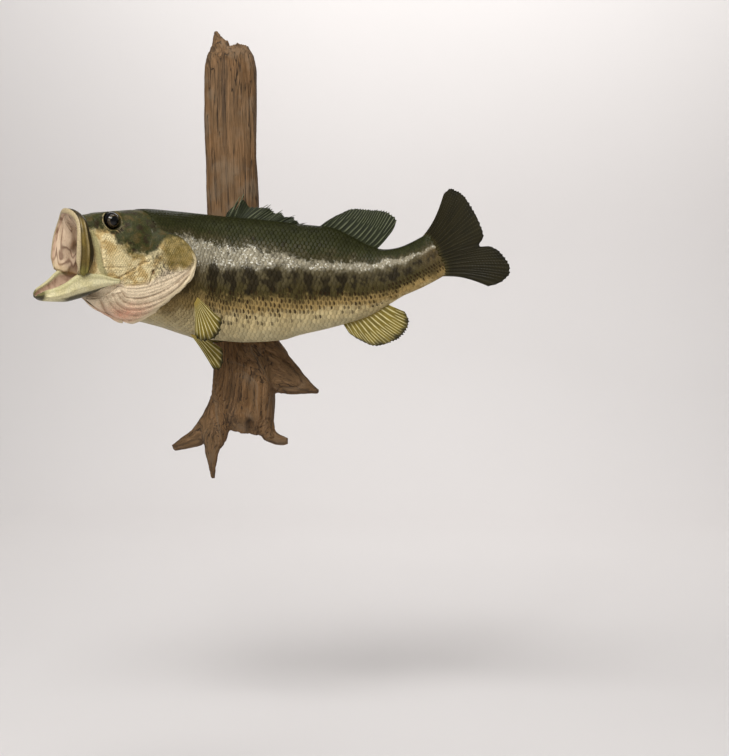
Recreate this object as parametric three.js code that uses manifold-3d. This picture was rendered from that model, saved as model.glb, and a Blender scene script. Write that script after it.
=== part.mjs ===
// A wall-mounted largemouth bass, life size, on its piece of driftwood. Millimetres, +Z up.
//
// The origin is on the flat back of the driftwood, which hangs on a wall in the plane y = 0, level with
// the middle of the fish. +X runs towards the tail and -Y towards the room.
//
// The fish is drawn straight first, in its own frame: station s runs from the upper lip towards the tail,
// y across (negative is the fish's left, the side towards the room) and z up. The spine then bends that
// straight fish into its pose: head turned out from the wall, tail lifted.
import * as THREE from "three";
import { mergeVertices } from "three/addons/utils/BufferGeometryUtils.js";
import Module from "manifold-3d";

const wasm = await Module();
wasm.setup();

// ---------------------------------------------------------------- driving dimensions
const GAP = 0.35; // clearance between neighbouring pieces
const BODY_LENGTH = 486; // upper lip to the root of the tail fin
const MOUTH = { halfWidth: 38.5, height: 65, foot: 12 }; // the upper jaw's arch and the height of its feet
const EYE = { s: 48.5, y: 18, z: 69, radius: 10.2, flatness: 0.95 };
const SPINE_THICKNESS = 3.2;

const HEAD_TURN = THREE.MathUtils.degToRad(41); // the head's turn out from the wall
const HEAD_ROLL = THREE.MathUtils.degToRad(6); // the head's roll, its left side lower
const TAIL_TURN = THREE.MathUtils.degToRad(22); // the tail's turn out from the wall
const TAIL_LIFT = THREE.MathUtils.degToRad(28); // the rise of the tail
const REST = { s: 238, x: 35, y: -76, z: -3 }; // where the middle of the body lies against the wood
const BENDS = { roll: [20, 110], neck: [108, 253], hip: [308, 500], lift: [358, 478] }; // their stations
const ROLL_HEIGHT = 30; // height of the line the head rolls about

// Where the body is cut into its named lengths.
const CUTS = { neck: 158, waist: 285, hip: 415 };

// ---------------------------------------------------------------- small tools
const { degToRad, lerp, smoothstep } = THREE.MathUtils;
const at = (x, y, z) => new THREE.Vector3(x, y, z);
const steps = (count) => Array.from({ length: count + 1 }, (_, i) => i / count);
const between = (from, to, count) => steps(count).map((t) => lerp(from, to, t));

/** A smooth curve through [station, value] pairs: a cubic with limited slopes, so that it never overshoots. */
function curve(pairs) {
  const slope = pairs.map(([x, y], i) => {
    const before = pairs[i - 1];
    const after = pairs[i + 1];
    if (!before || !after) return 0;
    const rise = (y - before[1]) / (x - before[0]);
    const next = (after[1] - y) / (after[0] - x);
    return rise * next <= 0 ? 0 : (2 * rise * next) / (rise + next);
  });
  return (x) => {
    const last = pairs.length - 1;
    if (x <= pairs[0][0]) return pairs[0][1];
    if (x >= pairs[last][0]) return pairs[last][1];
    const i = pairs.findIndex(([next]) => next > x) - 1;
    const width = pairs[i + 1][0] - pairs[i][0];
    const t = (x - pairs[i][0]) / width;
    const bend = (1 - t) * (1 - t) * t * slope[i] - t * t * (1 - t) * slope[i + 1];
    return lerp(pairs[i][1], pairs[i + 1][1], t * t * (3 - 2 * t)) + bend * width;
  };
}

/** Cos and sin raised to a power with their sign kept, for squarer or sharper ovals. */
const power = (value, exponent) => Math.sign(value) * Math.abs(value) ** exponent;

// ---------------------------------------------------------------- the spine, which poses the straight fish
/** Turn about the vertical and lift of the body's axis at a station, in radians. */
function heading(s) {
  const turn =
    HEAD_TURN * (1 - smoothstep(s, ...BENDS.neck)) - TAIL_TURN * smoothstep(s, ...BENDS.hip);
  return { turn, lift: TAIL_LIFT * smoothstep(s, ...BENDS.lift) };
}

const SPINE_STEP = 1;
const SPINE_START = -60;
const SPINE = (() => {
  const points = [at(0, 0, 0)];
  for (let s = SPINE_START; s < 640; s += SPINE_STEP) {
    const { turn, lift } = heading(s + SPINE_STEP / 2);
    const step = at(Math.cos(turn) * Math.cos(lift), Math.sin(turn) * Math.cos(lift), Math.sin(lift));
    points.push(points[points.length - 1].clone().addScaledVector(step, SPINE_STEP));
  }
  const shift = at(REST.x, REST.y, REST.z).sub(points[(REST.s - SPINE_START) / SPINE_STEP]);
  return points.map((point) => point.add(shift));
})();

/** Moves a point of the straight fish to its place in the pose. */
function posePoint(straight) {
  const roll = HEAD_ROLL * (1 - smoothstep(straight.x, ...BENDS.roll));
  const rise = straight.z - ROLL_HEIGHT;
  const point = at(
    straight.x,
    straight.y * Math.cos(roll) - rise * Math.sin(roll),
    ROLL_HEIGHT + straight.y * Math.sin(roll) + rise * Math.cos(roll),
  );
  const place = (point.x - SPINE_START) / SPINE_STEP;
  const i = Math.min(Math.max(Math.floor(place), 0), SPINE.length - 2);
  const { turn, lift } = heading(point.x);
  const across = at(-Math.sin(turn), Math.cos(turn), 0);
  const up = at(-Math.cos(turn) * Math.sin(lift), -Math.sin(turn) * Math.sin(lift), Math.cos(lift));
  return SPINE[i]
    .clone()
    .lerp(SPINE[i + 1], place - i)
    .addScaledVector(across, point.y)
    .addScaledVector(up, point.z);
}

// ---------------------------------------------------------------- solids
/** A closed solid through rings of equal length, with both end rings capped. */
function loft(rings) {
  const count = rings[0].length;
  const corners = rings.flat();
  const faces = [];
  for (let r = 0; r + 1 < rings.length; r++)
    for (let i = 0; i < count; i++) {
      const a = r * count + i;
      const b = r * count + ((i + 1) % count);
      faces.push([a, b, a + count], [b, b + count, a + count]);
    }
  faces.push(...cap(rings[0], 0).map(([a, b, c]) => [a, c, b]));
  faces.push(...cap(rings[rings.length - 1], corners.length - count));
  return solidOf(corners, faces);
}

/** Triangles that close a flat ring, turned as the ring runs; their corners are numbered from start. */
function cap(ring, start) {
  const normal = at(0, 0, 0);
  ring.forEach((p, i) => {
    const q = ring[(i + 1) % ring.length];
    normal.add(at((p.y - q.y) * (p.z + q.z), (p.z - q.z) * (p.x + q.x), (p.x - q.x) * (p.y + q.y)));
  });
  normal.normalize();
  const side = Math.abs(normal.x) > 0.9 ? at(0, 1, 0) : at(1, 0, 0);
  side.addScaledVector(normal, -side.dot(normal)).normalize();
  const other = normal.clone().cross(side);
  const flat = ring.map((p) => new THREE.Vector2(p.dot(side), p.dot(other)));
  return THREE.ShapeUtils.triangulateShape(flat, []).map((face) => {
    const area = THREE.ShapeUtils.area(face.map((i) => flat[i]));
    const [a, b, c] = face.map((i) => i + start);
    return area > 0 ? [a, b, c] : [a, c, b];
  });
}

/** A manifold solid from corner points and triangles, turned so that its faces point outwards. */
function solidOf(corners, faces) {
  const geometry = new THREE.BufferGeometry();
  geometry.setAttribute(
    "position",
    new THREE.Float32BufferAttribute(corners.flatMap((p) => [p.x, p.y, p.z]), 3),
  );
  geometry.setIndex(faces.flat());
  const merged = mergeVertices(geometry, 1e-3);
  const points = merged.attributes.position.array;
  const corner = (i) => at(points[3 * i], points[3 * i + 1], points[3 * i + 2]);
  let volume = 0;
  const index = merged.index.array;
  for (let i = 0; i < index.length; i += 3)
    volume += corner(index[i]).dot(corner(index[i + 1]).cross(corner(index[i + 2])));
  const triVerts = [];
  for (let i = 0; i < index.length; i += 3) {
    const [a, b, c] = [index[i], index[i + 1], index[i + 2]];
    if (a === b || b === c || c === a) continue;
    triVerts.push(...(volume > 0 ? [a, b, c] : [a, c, b]));
  }
  const mesh = { numProp: 3, vertProperties: points, triVerts: new Uint32Array(triVerts) };
  return new wasm.Manifold(new wasm.Mesh(mesh));
}

/** Rings of the straight fish, posed and lofted. */
const posed = (rings) => loft(rings.map((ring) => ring.map(posePoint)));

/** The same solid with its surface moved out along its own normals, used to cut its neighbours clear of it. */
function grown(solid, by = GAP) {
  const { vertProperties, triVerts, numProp, numVert } = solid.getMesh();
  const corner = (i) => new THREE.Vector3().fromArray(vertProperties, i * numProp);
  const push = Array.from({ length: numVert }, () => at(0, 0, 0));
  for (let i = 0; i < triVerts.length; i += 3) {
    const [a, b, c] = [triVerts[i], triVerts[i + 1], triVerts[i + 2]];
    const [p, q, r] = [corner(a), corner(b), corner(c)];
    const normal = q.clone().sub(p).cross(r.clone().sub(p)).normalize();
    for (const [i0, from, left, right] of [[a, p, q, r], [b, q, r, p], [c, r, p, q]])
      push[i0].addScaledVector(normal, left.clone().sub(from).angleTo(right.clone().sub(from)) || 0);
  }
  const moved = push.map((normal, i) => corner(i).addScaledVector(normal.normalize(), by));
  const faces = [];
  for (let i = 0; i < triVerts.length; i += 3) faces.push([...triVerts.slice(i, i + 3)]);
  return solidOf(moved, faces);
}

/** What is left of a solid clear of its neighbours; crumbs that a cut leaves loose are dropped. */
function clearOf(solid, neighbours) {
  const rest = neighbours.reduce((left, other) => left.subtract(grown(other)), solid);
  return rest.decompose().sort((a, b) => b.volume() - a.volume())[0];
}

// ---------------------------------------------------------------- the body's form
const BODY = {
  top: curve([
    [-4, 66], [6, 71], [20, 75], [48, 79.5], [80, 84], [110, 86.5], [155, 85], [205, 81], [260, 76],
    [310, 70], [345, 66], [372, 55], [403, 40], [426, 31], [457, 25.5], [BODY_LENGTH, 24],
  ]),
  low: curve([
    [0, -16], [20, -26], [41, -38], [60, -46], [78, -51], [95, -54], [125, -61], [165, -73], [205, -78.5],
    [235, -80.5], [280, -78], [306, -71], [345, -62], [387, -49.5], [415, -37], [435, -32], [BODY_LENGTH, -33.5],
  ]),
  half: curve([
    [0, 30], [20, 35], [48, 38], [84, 42], [125, 45], [165, 46], [205, 45], [260, 42], [310, 35],
    [350, 28], [400, 19], [440, 13], [BODY_LENGTH, 7],
  ]),
  middle: curve([[0, 8], [100, 10], [200, 4], [300, 0], [BODY_LENGTH, -4]]), // height of the widest part
  backSquare: curve([[0, 0.86], [60, 0.8], [110, 0.9], [170, 1], [BODY_LENGTH, 1]]),
};

/** A point of the whole body's oval; the angle runs from the back (0) over the fish's left to the belly. */
function bodyPoint(s, angle, lift = 0) {
  const middle = BODY.middle(s);
  const rise = Math.cos(angle) > 0 ? BODY.top(s) - middle : middle - BODY.low(s);
  const width = BODY.half(s) * power(Math.sin(angle), BODY.backSquare(s));
  const point = at(s, -width, middle + rise * power(Math.cos(angle), 0.96));
  const outward = at(0, -rise * Math.sin(angle), BODY.half(s) * Math.cos(angle)).normalize();
  return point.addScaledVector(outward, lift);
}

const CHEEK_LOW = curve([[6, 3], [24, 1], [52, -9], [84, -24]]); // the cheek's lower edge
const PALATE = curve([[6, 59], [30, 50], [60, 40], [84, 34]]); // the roof of the mouth
const CHEEK_SHARE = 0.62; // of a half section's points, those on its outer side
const CHEEK_WALL = 7;
const THROAT_WALL = [62, 82]; // stations between which the mouth closes

/** A point of the section, by its share of the way from the back to the belly on one side. */
function headPoint(s, share, side) {
  const whole = bodyPoint(s, Math.PI * share);
  const open = 1 - smoothstep(s, ...THROAT_WALL);
  if (open > 0) {
    const middle = BODY.middle(s);
    const edge = Math.acos(Math.max(-0.55, (CHEEK_LOW(s) - middle) / (middle - BODY.low(s))));
    const rim = bodyPoint(s, edge);
    const cheek = at(s, 0, 0);
    if (share < CHEEK_SHARE) cheek.copy(bodyPoint(s, (edge * share) / CHEEK_SHARE));
    else {
      const inward = ((share - CHEEK_SHARE) / (1 - CHEEK_SHARE)) * (Math.PI / 2);
      cheek.y = (rim.y + CHEEK_WALL) * Math.cos(inward) ** 0.7;
      cheek.z = lerp(rim.z, PALATE(s), Math.sin(inward) ** 0.9);
    }
    whole.lerp(cheek, open);
  }
  whole.y *= side;
  return whole;
}

/** One closed section of the head or body. */
function section(s, perSide = 16) {
  const shares = steps(perSide);
  const left = shares.map((share) => headPoint(s, share, 1));
  const right = shares.slice(1, -1).reverse().map((share) => headPoint(s, share, -1));
  return [...left, ...right];
}

const head = posed([6, 12, 20, 30, 40, 50, 60, 66, 71, 76, 82, 94, 110, 127, 143, CUTS.neck].map((s) => section(s)));
const trunkFront = posed(between(CUTS.neck + GAP, CUTS.waist, 7).map((s) => section(s)));
const trunkRear = posed(between(CUTS.waist + GAP, CUTS.hip, 8).map((s) => section(s, 14)));
const tailStalk = posed(between(CUTS.hip + GAP, BODY_LENGTH, 5).map((s) => section(s, 11)));

// ---------------------------------------------------------------- jaws, throat and tongue
/** The upper jaw: lip and jaw plates in one arch, broadest at their lower ends. */
function upperJaw() {
  const FOOT_ANGLE = 95;
  const front = curve([[0, -5], [40, -1], [70, -3.5], [FOOT_ANGLE, -4.5]]); // by angle from the top of the arch
  const width = curve([[0, 11], [45, 14], [80, 21.5], [FOOT_ANGLE, 20]]);
  const thick = curve([[0, 8], [45, 6.5], [80, 5], [FOOT_ANGLE, 4]]);
  const SQUARE = 0.8;
  return posed(
    between(-FOOT_ANGLE, FOOT_ANGLE, 24).map((degrees) => {
      const angle = degToRad(degrees);
      const reach = Math.abs(degrees);
      const centre = at(
        front(reach),
        -MOUTH.halfWidth * power(Math.sin(angle), SQUARE),
        MOUTH.foot + MOUTH.height * power(Math.cos(angle), SQUARE),
      );
      const outward = at(0, -Math.sin(angle) * MOUTH.height, Math.cos(angle) * MOUTH.halfWidth).normalize();
      const taper = 1 - 0.5 * smoothstep(reach, 85, FOOT_ANGLE);
      return between(0, 2 * Math.PI, 10).slice(0, -1).map((turn) =>
        centre
          .clone()
          .add(at(width(reach) * (0.5 + 0.5 * power(Math.cos(turn), 0.8) * taper), 0, 0))
          .addScaledVector(outward, thick(reach) * 0.5 * power(Math.sin(turn), 0.8) * taper),
      );
    }),
  );
}

const JAW = {
  tip: -37.5,
  joint: 52,
  rim: curve([[-38, -23], [-31, -18.5], [-21, -14], [-10, -7], [-2, 0], [5, 4], [24, 4], [52, -2]]),
  low: curve([[-38, -27], [-31, -30], [-8, -30.5], [8, -27], [25, -20], [38, -14], [52, -9]]),
  floor: curve([[-38, -25], [-27, -26], [0, -25], [24, -18], [52, -7]]),
};

/** Outer half width of the lower jaw: a blunt, rounded bow seen from above. */
const jawHalf = (s) => 40 * Math.sin(Math.acos(Math.min(1, (JAW.joint - s) / (JAW.joint - JAW.tip + 0.6)))) ** 0.8;

/** The lower jaw: a scoop with an open top. */
function lowerJaw() {
  const stations = [0, 0.03, 0.09, 0.18, 0.3, 0.44, 0.6, 0.78, 1].map((t) => lerp(JAW.tip, JAW.joint, t));
  return posed(
    stations.map((s) => {
      const half = jawHalf(s);
      const wall = Math.min(7, half * 0.45);
      const outer = between(0, Math.PI / 2, 4).map((turn) =>
        at(s, -half * Math.cos(turn) ** 0.6, lerp(JAW.rim(s), JAW.low(s), Math.sin(turn) ** 0.8)),
      );
      const inner = between(Math.PI / 2, 0, 4).map((turn) => {
        const floor = Math.max(JAW.floor(s), JAW.low(s) + 2);
        return at(s, -(half - wall) * Math.cos(turn) ** 0.5, lerp(JAW.rim(s), floor, Math.sin(turn) ** 0.8));
      });
      const flip = (p) => at(p.x, -p.y, p.z);
      return [
        ...outer,
        ...outer.slice(0, -1).reverse().map(flip),
        ...inner.slice().reverse().map(flip),
        ...inner.slice(1),
      ];
    }),
  );
}

/** The soft throat between the lower jaws, which also floors the back of the mouth. */
function throatPouch() {
  const half = curve([[10, 9], [24, 20], [45, 27], [84, 33]]);
  const top = curve([[10, -25], [24, -19], [50, -13], [84, -10]]);
  return posed(
    between(10, 84, 6).map((s) =>
      between(0, 2 * Math.PI, 14).slice(0, -1).map((turn) => {
        const high = top(s);
        const low = BODY.low(s) + 1.2;
        const middle = lerp(low, high, 0.7);
        const reach = Math.cos(turn) > 0 ? high - middle : middle - low;
        return at(s, -half(s) * Math.sin(turn), middle + reach * Math.cos(turn));
      }),
    ),
  );
}

/** The tongue, a blunt wedge on the floor of the mouth. */
function tongueBlade() {
  const half = curve([[-16, 4], [0, 10], [30, 13], [58, 10]]);
  return posed(
    between(-16, 56, 4).map((s) => {
      const top = lerp(-18, -6, (s + 16) / 72);
      return between(0, 2 * Math.PI, 8).slice(0, -1).map((turn) =>
        at(s, -half(s) * Math.sin(turn), top - 3 + 3 * Math.cos(turn)),
      );
    }),
  );
}

// ---------------------------------------------------------------- gill covers
const GILL = {
  top: degToRad(50),
  bottom: degToRad(174),
  front: curve([[50, 92], [70, 80], [90, 68], [105, 56], [120, 45], [140, 34], [160, 27], [174, 24]]),
  rear: curve([
    [50, 106], [60, 128], [70, 146], [81, 156], [93, 150], [111, 125], [126, 108], [143, 95], [163, 82], [174, 78],
  ]),
};

/** One gill cover with its soft lower skirt: a plate over the body's side that stands off at its rear edge. */
function gillCover(side) {
  const rows = 13;
  const columns = 5;
  const lift = (share) => 1.2 + 2.6 * smoothstep(share, 0, 0.3) + 3.4 * smoothstep(share, 0.45, 1);
  const thick = (share) => lerp(1.1, 2.2, smoothstep(share, 0, 0.4));
  const edge = (angle, share, offset) => {
    const degrees = THREE.MathUtils.radToDeg(angle);
    const point = bodyPoint(lerp(GILL.front(degrees), GILL.rear(degrees), share), angle, offset);
    point.y *= side;
    return point;
  };
  return posed(
    between(GILL.top, GILL.bottom, rows).map((angle) => {
      const shares = steps(columns);
      const outer = shares.map((share) => edge(angle, share, lift(share)));
      const inner = shares.slice().reverse().map((share) => edge(angle, share, lift(share) - thick(share)));
      return [...outer, ...inner];
    }),
  );
}

// ---------------------------------------------------------------- eyes
/** One eye: a flattened ball that shows as a low dome in its socket. */
function eyeBall(side) {
  return posed(
    between(10, 170, 6).map((polar) =>
      between(0, 360, 12).slice(0, -1).map((round) => {
        const out = EYE.radius * Math.sin(degToRad(polar));
        return at(
          EYE.s + out * Math.cos(degToRad(round)),
          side * (-EYE.y - EYE.radius * EYE.flatness * Math.cos(degToRad(polar))),
          EYE.z + out * Math.sin(degToRad(round)),
        );
      }),
    ),
  );
}

// ---------------------------------------------------------------- fins
/**
 * A fin as a thin closed sheet. Each ray runs from a root to a tip, both points of the straight fish, and
 * rays() gives { root, tip, thick } for a share of the way along the fin's base. bow() moves a point
 * sideways and sag() moves it up; across is the sheet's thin direction.
 */
function fin(count, rays, options = {}) {
  const { across = at(0, 1, 0), bow = () => 0, sag = () => 0, along = 4, margin = 0.7 } = options;
  return posed(
    steps(count).map((share) => {
      const { root, tip, thick } = rays(share);
      const sheet = (sign) =>
        steps(along).map((reach) =>
          root
            .clone()
            .lerp(tip, reach)
            .add(at(0, 0, sag(share, reach)))
            .addScaledVector(across, bow(share, reach) + sign * 0.5 * lerp(thick, margin, reach ** 1.5)),
        );
      return [...sheet(-1), ...sheet(1).reverse()];
    }),
  );
}

/** The first dorsal fin: spines partly folded back, with the skin sagging between their tips. */
function spinyDorsal() {
  // the root's station, the edge's station and height over the back, and whether a spine stands there
  const EDGE = [
    [209, 212, 6, 0], [214, 228.7, 27, 1], [217.5, 222, 9, 0], [221, 233.5, 30.5, 1], [228, 241, 17, 0],
    [236, 264.5, 20, 1], [243, 268.5, 20.5, 1], [256, 275, 11.5, 0], [263, 283.5, 15.3, 1], [270, 287, 7.8, 0],
    [277, 300, 10.7, 1], [283, 299.5, 5.5, 0], [288, 303.5, 4.6, 1], [296, 305.5, 0.6, 0], [301, 315.5, 2.8, 1],
  ];
  return fin(
    EDGE.length - 1,
    (share) => {
      const [s, back, height, spine] = EDGE[Math.round(share * (EDGE.length - 1))];
      const tip = at(back, 0, BODY.top(back) + height);
      return { root: at(s, 0, BODY.top(s) - 3), tip, thick: spine ? SPINE_THICKNESS : 1.4 };
    },
    { along: 3 },
  );
}

/** The second dorsal fin: soft rays swept back. */
function softDorsal() {
  const tipS = curve([[0, 340], [0.1, 356], [0.25, 378], [0.45, 409], [0.65, 437], [0.8, 454], [0.92, 461], [1, 449]]);
  const tipZ = curve([[0, 74], [0.1, 83], [0.25, 90], [0.45, 87], [0.65, 82], [0.8, 74], [0.92, 60], [1, 50]]);
  return fin(
    16,
    (share) => {
      const s = lerp(328, 411, share);
      return { root: at(s, 0, BODY.top(s) - 3), tip: at(tipS(share), 0, tipZ(share)), thick: 2.2 };
    },
    { bow: (share, reach) => 3 * reach * reach * Math.sin(share * Math.PI) },
  );
}

/** The anal fin, under the hip. */
function analFin() {
  const tipS = curve([[0, 369], [0.12, 381], [0.3, 397], [0.55, 415], [0.75, 425], [0.9, 430], [1, 429]]);
  const tipZ = curve([[0, -69], [0.12, -79], [0.3, -88], [0.55, -84], [0.75, -76], [0.9, -64], [1, -53]]);
  return fin(
    14,
    (share) => {
      const s = lerp(360, 411, share);
      return { root: at(s, 0, BODY.low(s) + 3), tip: at(tipS(share), 0, tipZ(share)), thick: 2.2 };
    },
    { bow: (share, reach) => -3 * reach * reach },
  );
}

/** The tail fin: two broad lobes with a shallow notch between them. */
function tailFin() {
  const NOTCH = 0.585;
  const tipS = curve([
    [0, 534], [0.06, 543], [0.13, 549], [0.25, 556], [0.4, 558], [0.53, 555], [NOTCH, 544], [0.63, 556],
    [0.7, 564], [0.8, 567], [0.88, 561], [0.95, 548], [1, 531],
  ]);
  const tipZ = curve([
    [0, 56], [0.06, 57.5], [0.13, 52], [0.25, 38], [0.53, -16], [NOTCH, -24], [0.8, -62], [0.88, -74],
    [0.95, -77], [1, -74],
  ]);
  return fin(
    24,
    (share) => {
      const root = at(BODY_LENGTH - 6 + 8 * Math.cos((share - 0.5) * 2.4), 0, lerp(23.5, -33, share));
      return { root, tip: at(tipS(share), 0, tipZ(share)), thick: 4.5 };
    },
    {
      bow: (share, out) => 5 * Math.sin(out * 2) * (share - 0.5),
      sag: (share, out) => 10 * (share - 0.5) * Math.sin(out * Math.PI),
    },
  );
}

/** One pectoral fin, hanging down the side behind the gill cover; fold (0 to 1) closes it up the flank. */
function pectoralFin(side, fold) {
  const tipS = curve([[0, 152], [0.25, 166], [0.5, 187], [0.75, 203], [1, 207]]);
  const tipZ = curve([[0, -72], [0.25, -79], [0.5, -76], [0.75, -66], [1, -50]]);
  return fin(
    10,
    (share) => {
      const root = at(lerp(154, 160, share), -side * lerp(46, 46.6, share), lerp(-32, -24, share));
      const open = at(tipS(share), -side * lerp(51, 49, share), tipZ(share));
      const closed = at(lerp(172, 190, share), -side * lerp(47, 50, share), lerp(-58, -40, share));
      return { root, tip: open.lerp(closed, fold), thick: 2.4 };
    },
    {
      across: at(0, -0.92 * side, -0.3).normalize(),
      bow: (share, reach) => 6 * (1 - fold) * Math.sin(reach * 2.6) * (0.4 + share),
    },
  );
}

/** One pelvic fin, under the breast; fold (0 to 1) lays it back against the belly. */
function pelvicFin(side, fold) {
  const tipS = curve([[0, 192], [0.35, 200], [0.7, 208], [1, 207]]);
  const tipZ = curve([[0, -115], [0.35, -116], [0.7, -104], [1, -89]]);
  return fin(
    8,
    (share) => {
      const root = at(lerp(159, 174, share), -side * lerp(17, 15, share), lerp(-70, -72, share));
      const tip = at(
        tipS(share),
        -side * lerp(lerp(30, 26, share), lerp(16, 27, share), fold),
        lerp(tipZ(share), lerp(-83, -78, share), fold),
      );
      return { root, tip, thick: 2.4 };
    },
    { bow: (share, reach) => -side * 3 * Math.sin(reach * Math.PI) },
  );
}

// ---------------------------------------------------------------- driftwood
const WOOD_ROUND = 14;

/**
 * A length of wood through stations { x, y, z, half, deep }: an oval across the path, half wide in the plane
 * of the wall and deep towards the room.
 */
function limb(stations, round = WOOD_ROUND, square = 0.8) {
  return loft(
    stations.map((station, i) => {
      const before = stations[Math.max(i - 1, 0)];
      const after = stations[Math.min(i + 1, stations.length - 1)];
      const along = at(after.x - before.x, 0, after.z - before.z).normalize();
      const wide = at(along.z, 0, -along.x);
      return between(0, 2 * Math.PI, round).slice(0, -1).map((turn) =>
        at(station.x, station.y, station.z)
          .addScaledVector(wide, station.half * power(Math.cos(turn), square))
          .add(at(0, station.deep * power(Math.sin(turn), square), 0)),
      );
    }),
  );
}

const BOARD = [
  { x: -3, y: -12, z: 306, half: 25, deep: 13 },
  { x: -1, y: -13, z: 300, half: 30, deep: 17 },
  { x: 0.5, y: -13.5, z: 291, half: 33, deep: 19 },
  { x: 2, y: -14, z: 274, half: 35.5, deep: 20 },
  { x: 2, y: -15, z: 209, half: 36, deep: 21 },
  { x: 3.5, y: -15, z: 155, half: 35, deep: 21 },
  { x: 5.5, y: -16, z: 100, half: 35.5, deep: 21 },
  { x: 8, y: -17, z: 0, half: 35, deep: 22 },
  { x: 15, y: -18, z: -70, half: 37, deep: 24 },
  { x: 21, y: -21, z: -115, half: 41, deep: 28 },
  { x: 20, y: -23, z: -152, half: 42, deep: 31 },
  { x: 16, y: -22, z: -182, half: 45, deep: 28 },
  { x: 12, y: -20, z: -202, half: 34, deep: 20 },
];
const SPLINTER = [
  { x: -13, y: -13, z: 284, half: 14, deep: 11 },
  { x: -12, y: -12.5, z: 309, half: 13, deep: 9.5 },
  { x: -15, y: -12, z: 318, half: 8, deep: 7 },
  { x: -18.5, y: -11, z: 329, half: 3, deep: 3.5 },
];
const ROOTS = [
  // the long root to the lower left
  [
    { x: 4, y: -24, z: -150, half: 22, deep: 22 },
    { x: -22, y: -24, z: -188, half: 15, deep: 18 },
    { x: -42, y: -22, z: -211, half: 13, deep: 13 },
    { x: -61, y: -20, z: -219, half: 9.5, deep: 10 },
    { x: -77, y: -18, z: -226, half: 5, deep: 5 },
  ],
  // the spike that hangs down
  [
    { x: -7, y: -30, z: -170, half: 18, deep: 18 },
    { x: -17, y: -34, z: -206, half: 18, deep: 13 },
    { x: -20.5, y: -35, z: -228, half: 10, deep: 9 },
    { x: -20.5, y: -34, z: -246, half: 6.5, deep: 6.5 },
    { x: -19.5, y: -33, z: -265, half: 3, deep: 3 },
  ],
  // the stub to the lower right, with its blunt toe
  [
    { x: 44, y: -24, z: -160, half: 18, deep: 22 },
    { x: 48, y: -26, z: -188, half: 15, deep: 17 },
    { x: 54, y: -27, z: -206, half: 10, deep: 12 },
    { x: 66, y: -26, z: -213, half: 8.5, deep: 9 },
    { x: 75, y: -25, z: -214.5, half: 6.5, deep: 7 },
    { x: 80, y: -25, z: -214.5, half: 4.5, deep: 5 },
  ],
  // the buttress to the right
  [
    { x: 30, y: -20, z: -99, half: 40, deep: 21 },
    { x: 64, y: -19, z: -124, half: 31, deep: 18 },
    { x: 92, y: -17, z: -139, half: 17, deep: 14 },
    { x: 112, y: -14, z: -147, half: 6, deep: 8 },
    { x: 120, y: -13, z: -150, half: 3, deep: 4 },
  ],
];
// the rotted hollow under the board, beside the stub
const HOLLOW = [
  { x: 33, y: -56, z: -187, half: 4, deep: 24 },
  { x: 33, y: -56, z: -196, half: 8, deep: 26 },
  { x: 31, y: -56, z: -222, half: 12, deep: 28 },
];

/** The driftwood: board, broken top and roots in one piece, sawn flat where it meets the wall. */
function driftwood() {
  const limbs = [limb(BOARD, 18, 0.7), limb(SPLINTER, 10), ...ROOTS.map((root) => limb(root, 12, 0.9))];
  const whole = limbs.reduce((sum, piece) => sum.add(piece));
  const room = loft(
    [-400, 400].map((z) => [at(-300, -200, z), at(300, -200, z), at(300, 0, z), at(-300, 0, z)]),
  );
  return whole.subtract(limb(HOLLOW, 8, 0.9)).intersect(room);
}

// ---------------------------------------------------------------- assembly
const FLESH = { color: 0x6b6b45, roughness: 0.35 };
const FINISH = {
  skin: FLESH,
  jaw: { color: 0xa79f72, roughness: 0.4 },
  gill: { color: 0xd6c39a, roughness: 0.35 },
  mouth: { color: 0xb89880, roughness: 0.45 },
  eye: { color: 0x2a2018, roughness: 0.1 },
  darkFin: { color: 0x35402c, roughness: 0.45 },
  paleFin: { color: 0xa39445, roughness: 0.45 },
  wood: { color: 0x7a5c42, roughness: 0.85 },
};

const eyes = { eye_left: eyeBall(1), eye_right: eyeBall(-1) };
const lip = upperJaw();
const jaw = clearOf(lowerJaw(), [lip]);
const skull = clearOf(head, [lip, jaw, ...Object.values(eyes)]);
const trunk = [skull, trunkFront, trunkRear, tailStalk];
const throat = clearOf(throatPouch(), [skull, jaw]);
const tongue = clearOf(tongueBlade(), [throat, jaw, skull]);
const gills = {
  gill_cover_left: clearOf(gillCover(1), [jaw, lip, ...trunk.slice(0, 2), throat]),
  gill_cover_right: clearOf(gillCover(-1), [jaw, lip, ...trunk.slice(0, 2), throat]),
};
const covers = Object.values(gills);

const PARTS = [
  ["head", skull, FINISH.skin],
  ["upper_jaw", lip, FINISH.jaw],
  ["lower_jaw", jaw, FINISH.jaw],
  ["throat", throat, FINISH.gill],
  ["tongue", tongue, FINISH.mouth],
  ...Object.entries(gills).map(([name, solid]) => [name, solid, FINISH.gill]),
  ...Object.entries(eyes).map(([name, solid]) => [name, solid, FINISH.eye]),
  ["trunk_front", trunkFront, FINISH.skin],
  ["trunk_rear", trunkRear, FINISH.skin],
  ["tail_stalk", tailStalk, FINISH.skin],
  ["fin_dorsal_spiny", clearOf(spinyDorsal(), trunk), FINISH.darkFin],
  ["fin_dorsal_soft", clearOf(softDorsal(), trunk), FINISH.darkFin],
  ["fin_tail", clearOf(tailFin(), trunk), FINISH.darkFin],
  ["fin_anal", clearOf(analFin(), trunk), FINISH.paleFin],
  ["fin_pectoral_left", clearOf(pectoralFin(1, 0), [...trunk, ...covers]), FINISH.paleFin],
  ["fin_pectoral_right", clearOf(pectoralFin(-1, 1), [...trunk, ...covers]), FINISH.paleFin],
  ["fin_pelvic_left", clearOf(pelvicFin(1, 0), trunk), FINISH.paleFin],
  ["fin_pelvic_right", clearOf(pelvicFin(-1, 1), trunk), FINISH.paleFin],
];
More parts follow.
